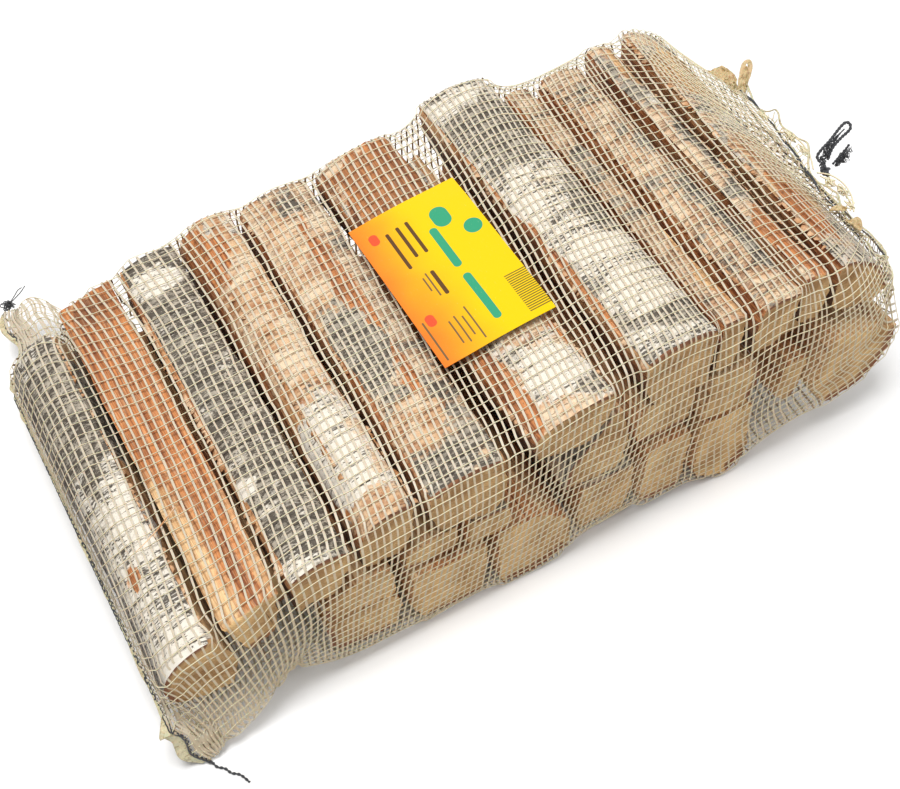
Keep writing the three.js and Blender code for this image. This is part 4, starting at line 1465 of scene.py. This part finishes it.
# Lumps of frayed, open lace along the mouth's upper edge: middle, half size, and the stretch of each
# along X, Y and Z.
LACE_LUMPS = [
    ((326, -8, 193), 4.6, (0.7, 2.2, 0.6)), ((326, -26, 192.5), 4.2, (0.7, 1.9, 0.6)),
    ((325, -60, 188), 5.0, (0.8, 1.5, 0.7)), ((329, -72, 186.5), 5.2, (0.8, 1.6, 0.8)),
    ((326, -85, 184.5), 4.4, (0.8, 1.6, 0.7)), ((324, 22, 191), 3.4, (0.7, 2.2, 0.6)),
]
# Torn strands of the hem that hang in loops from its edge, through the lumps.
LACE_STRANDS = [
    [(322, -48, 189), (328, -57, 191), (332, -68, 189.5), (331, -80, 186.5), (324, -92, 184)],
    [(322, -52, 189), (326, -62, 188.5), (329, -72, 186), (328, -83, 184), (322, -90, 184.5)],
    [(322, 4, 190), (326, -6, 194), (328, -20, 194.5), (326, -34, 192), (322, -44, 189)],
]
# A strip of the hem that stands up and curls over.
CURL_ROUTE = [
    (331, 61, 187), (334, 66, 191), (338, 71, 196), (342, 74, 200), (345.5, 73.5, 200.5),
    (345.5, 70.5, 198), (342, 67, 194.5), (337, 62, 190),
]
CURL_WIDTH = 4.2


def crumpled_sheet(middle, along, out, length, height, seed):
    """A small patch of net, folded so tightly that its holes close: (vertices, faces)."""
    columns, rows = int(length / 0.8), int(height / 0.8) + 2
    along, out = unit(np.array(along, float)), unit(np.array(out, float))
    across = np.cross(along, out)
    u, v = np.meshgrid(np.linspace(-0.5, 0.5, columns), np.linspace(0, 1, rows), indexing="ij")
    spot = np.stack([u * length, v * height], -1)
    edge = 1 - 0.75 * (2 * np.abs(u)) ** 3 + 0.25 * value_noise(spot / [5, 50], seed)
    pleats = 2.6 * value_noise(spot / [2.2, 7], seed + 1)
    pleats = pleats + 2.0 * value_noise(spot / [1.5, 2.0], seed + 2)
    sway = 1.6 * value_noise(spot / [6, 7], seed + 3)
    top = (np.asarray(middle, float) + along * (spot[..., 0] + sway * v)[..., None]
           + out * (spot[..., 1] * edge)[..., None] + across * (pleats * (0.4 + 0.8 * v))[..., None])
    top = top.reshape(-1, 3)
    bottom = top - across * HEM_THICKNESS
    return np.vstack([top, bottom]), sheet_faces(columns, rows)


def build_mouth_hem(hem_look, fold_look, thread_look):
    """The net beyond the drawstring: crumpled lace, with some of its tapes gone."""
    mouth = mouth_ring()
    count = len(mouth)
    draw = np.random.default_rng(33)
    way = unit(mouth - mouth.mean(0))
    axis = unit(np.array([1.0, 0.0, 0.75]))
    places, heights = zip(*HEM_HEIGHTS)
    tall = np.where(mouth[:, 2] > 172, np.interp(mouth[:, 1], places, heights), HEM_UNDER)
    tall = tall * (0.85 + 0.35 * noise_along(np.arange(count) / 3.1, 51))
    grid = np.zeros((HEM_ROWS + 1, count, 3))
    for row in range(HEM_ROWS + 1):
        share = row / HEM_ROWS
        spot = np.stack([np.arange(count) / 2.2, np.full(count, row * 0.8)], -1)
        shake = 2.6 * noise_vectors(spot, (52, 53, 54)) + 2.4 * noise_vectors(spot / 3, (55, 56, 57))
        shake = shake * min(1.0, 2 * share) * np.clip(tall / 9, 0.3, 1.2)[:, None]
        reach = (tall * share)[:, None]
        grid[row] = mouth + axis * reach * 0.85 + way * reach * 0.3 + shake - [0, 0, 1.5 * share**2]
    parts = []
    for row in range(1, HEM_ROWS + 1):
        line = refine(grid[row], 3, 0, True)
        start = 0
        edge = row == HEM_ROWS
        while start < len(line) - 9:
            run = int(draw.integers(9, 34))
            if edge or draw.random() < 0.45:
                parts.append(tube_mesh(line[start : start + run], 0.95 if edge else 0.5, 5, flat=0.6))
            start += run - (1 if edge else 2)
    tapes = make_piece("mouth_hem_tapes", *join_meshes(parts), [hem_look], "net")
    parts = [crumpled_sheet(*fold, 60 + 5 * order) for order, fold in enumerate(HEM_FOLDS)]
    folds = make_piece("mouth_hem_folds", *join_meshes([*parts, curl_band()]), [fold_look], "net")
    threads = refine(grid, 3, 0, False)
    parts = []
    for column in range(count):
        length = int(draw.integers(7, len(threads) + 1))
        parts.append(tube_mesh(threads[:length, column], 0.42, 4))
    for order, (centre, size, stretch) in enumerate(LACE_LUMPS):
        parts.append(tangle(centre, size, 5, 0.42, 80 + order, stretch))
        parts.append(tangle(centre, size * 0.7, 4, 0.5, 90 + order, stretch))
    for strand in LACE_STRANDS:
        parts.append(tube_mesh(smooth_curve(strand, 1.0), 0.75, 6, lobes=0.2, pitch=4.0))
    threads = make_piece("mouth_hem_threads", *join_meshes(parts), [thread_look], "net")
    add_vectors(threads, "along", np.array([vertex.co for vertex in threads.data.vertices]))
    return [tapes, folds, threads]


def curl_band():
    """A strip of the hem that has curled into a loop: (vertices, faces)."""
    line = smooth_curve(CURL_ROUTE, 0.8)
    tangents = unit(np.gradient(line, axis=0))
    side = unit(np.cross(tangents, [-0.29, -0.52, 0.80]))
    outward = np.cross(tangents, side)
    marks = np.arange(len(line)) * 0.8
    half = CURL_WIDTH / 2 * (0.85 + 0.3 * noise_along(marks / 4, 91))
    ripple = 0.5 * noise_along(marks / 2, 92)
    profile = np.linspace(-1, 1, 6)
    top = (line[:, None] + side[:, None] * (half[:, None] * profile)[..., None]
           + outward[:, None] * (ripple[:, None] * profile**2)[..., None])
    ring = np.concatenate([top, (top + outward[:, None] * 0.5)[:, ::-1]], 1)
    return ring.reshape(-1, 3), tube_faces(len(line), 2 * len(profile))


STEM_ROUTE = [(-260, -70, 134), (-248, -65, 134.5), (-236, -59, 135.5), (-223, -52, 138)]


def build_stray_stem(material):
    """A thin dry stem that is caught in the net over the first two logs."""
    line = smooth_curve(STEM_ROUTE, 2.0)
    radius = np.interp(np.linspace(0, 1, len(line)), [0, 0.6, 1], [0.25, 0.6, 0.3])
    make_piece("stray_stem", *tube_mesh(line, radius, 6), [material], "birch_log")


# ---- Torn bark along the edges of the logs ----

# Which edge of a log the bark frays along (-1 towards the sewn end, 1 towards the mouth), from
# where to where along Y, the length of the flaps and how closely they stand, in mm.
FRAYS = [
    ("log_03", -1, -140, 150, 7.0, 3.2), ("log_04", -1, -150, 80, 6.0, 3.6),
    ("log_04", 1, -150, -60, 5.0, 4.2), ("log_05", -1, -140, 150, 4.0, 5.0),
    ("log_06", -1, -150, -70, 6.0, 3.8), ("log_06", 1, -140, 60, 5.0, 4.6),
    ("log_07", -1, -150, 150, 6.5, 3.4), ("log_08", -1, -120, 130, 4.0, 5.0),
    ("log_09", -1, -130, 140, 4.5, 4.6), ("log_10", 1, -110, 150, 6.0, 3.8),
    ("log_11", -1, -130, 150, 6.5, 3.6), ("log_01", 1, -130, 140, 3.5, 6.0),
]
FLAP_THICKNESS = 0.35
FLAP_ROWS = 4
FLAP_COLUMNS = 3


def peel_material():
    """The torn inner side of birch bark: peach and orange-brown, finely lined."""
    n = Nodes("bark_peel")
    place = n.add("ShaderNodeTexCoord").outputs["Object"]
    broad = n.noise(place, 55.0, 3.0, 0.6)
    lines = n.noise(place, (260.0, 900.0, 260.0), 3.0, 0.6)
    color = n.mix(n.ramp(broad, 0.35, 0.65), (0.50, 0.235, 0.09), (0.80, 0.56, 0.35))
    color = n.mix(n.times(n.ramp(lines, 0.5, 0.7), 0.6), color, (0.30, 0.12, 0.05))
    return n.finish(color, 0.8, n.bump(lines, 0.6, 0.0005))


def fray_root(name, edge):
    """Where a log's bark ends on its front outline, which way that faces, and which way flaps point."""
    front = LOG_SHAPES[name][0]
    bark_angle, bark_half = LOG_LOOKS[name][:2]
    turn = np.radians(bark_angle - edge * (bark_half - 6))
    points, side, _ = resample_ring(front, 1.0)
    normals = LOG_PLANES[name][0][:-2][side]
    facing = np.arctan2(normals[:, 2], normals[:, 0])
    off = np.abs((facing - turn + np.pi) % (2 * np.pi) - np.pi)
    best = off + 0.004 * np.abs(points[:, 0] - points[:, 0].mean() - edge * 60)
    index = int(best.argmin())
    normal = normals[index]
    tangent = unit(np.cross(normal, ALONG_LOGS))
    return points[index], normal, tangent * np.sign(tangent[0]) * edge


def bark_flap(draw, root, normal, tangent, length):
    """One torn flap that curls away from its root: (vertices, faces)."""
    reach = length * draw.uniform(0.35, 0.95)
    width = draw.uniform(1.0, 4.5)
    lift = draw.uniform(-0.8, 1.6)
    lean = draw.uniform(-0.8, 0.8)
    steps = np.linspace(0, 1, FLAP_ROWS)[:, None, None]
    spread = np.linspace(-1, 1, FLAP_COLUMNS)[None, :, None]
    taper = 1 - 0.55 * steps ** 1.5
    sideways = width * spread * taper + lean * reach * steps * 0.5
    curl = lift * np.sin(steps * 2.4) - 1.4 * steps ** 2
    crinkle = draw.uniform(-0.4, 0.4, (FLAP_ROWS, FLAP_COLUMNS, 1))
    grid = root + tangent * reach * steps + ALONG_LOGS * sideways + normal * curl + normal * crinkle
    top = grid.reshape(-1, 3)
    under = top - normal * FLAP_THICKNESS
    turned = np.dot(np.cross(tangent, ALONG_LOGS), normal) < 0
    return np.vstack([top, under]), sheet_faces(FLAP_ROWS, FLAP_COLUMNS, turned)


def build_frays(material):
    """Small curled flaps of bark, joined as one piece on each edge."""
    for order, (name, edge, start, end, length, spacing) in enumerate(FRAYS):
        draw = np.random.default_rng(100 + order)
        front, back = LOG_SHAPES[name]
        sweep = (back - front).mean(0)
        corner, normal, tangent = fray_root(name, edge)
        flaps = []
        for y in np.arange(start, end, spacing):
            here = value_noise(np.array([y / 17.0, order * 3.7]), 71)
            if here < draw.uniform(-0.5, 0.6):
                continue
            share = np.clip((y + draw.uniform(-1.5, 1.5) - corner[1]) / sweep[1], 0.01, 0.99)
            root = corner + sweep * share - normal * 0.9 - tangent * 1.5
            flaps.append(bark_flap(draw, root, normal, tangent, length))
        make_piece(f"bark_fray_{order + 1:02d}", *join_meshes(flaps), [material], "birch_log")


# ---- The whole sack ----

def build_net():
    """The whole net sack: tapes, threads and hems."""
    tape_look = net_material("net_tape", (0.68, 0.61, 0.50), (0.52, 0.43, 0.30))
    thread_look = net_material("net_thread", (0.88, 0.80, 0.59), (0.70, 0.62, 0.41))
    hem_look = hem_material("net_hem", (0.50, 0.43, 0.25), (0.80, 0.74, 0.53))
    fold_look = hem_material("net_fold", (0.52, 0.33, 0.14), (0.80, 0.60, 0.36))
    net = vary_net(settle_net())
    tapes = build_tapes(net, tape_look)
    mouth_hem = build_mouth_hem(hem_look, fold_look, thread_look)
    seam_hem = build_seam_hem(hem_look)
    over = build_threads("net_threads_over", net, np.arange(0, HALF_ROUND), thread_look)
    under = build_threads("net_threads_under", net, np.arange(HALF_ROUND, THREAD_COUNT), thread_look)


add_camera()
black_thread = thread_material()
tassel = build_tassel(black_thread)
build_drawstring_loop(black_thread)
build_seam_tail(black_thread)
add_lights()
add_floor()
build_logs()
build_frays(peel_material())
build_stray_stem(peel_material())
build_net()
build_label()
build_drawstring(black_thread)
build_knots(black_thread)
build_seam_stitch(black_thread)
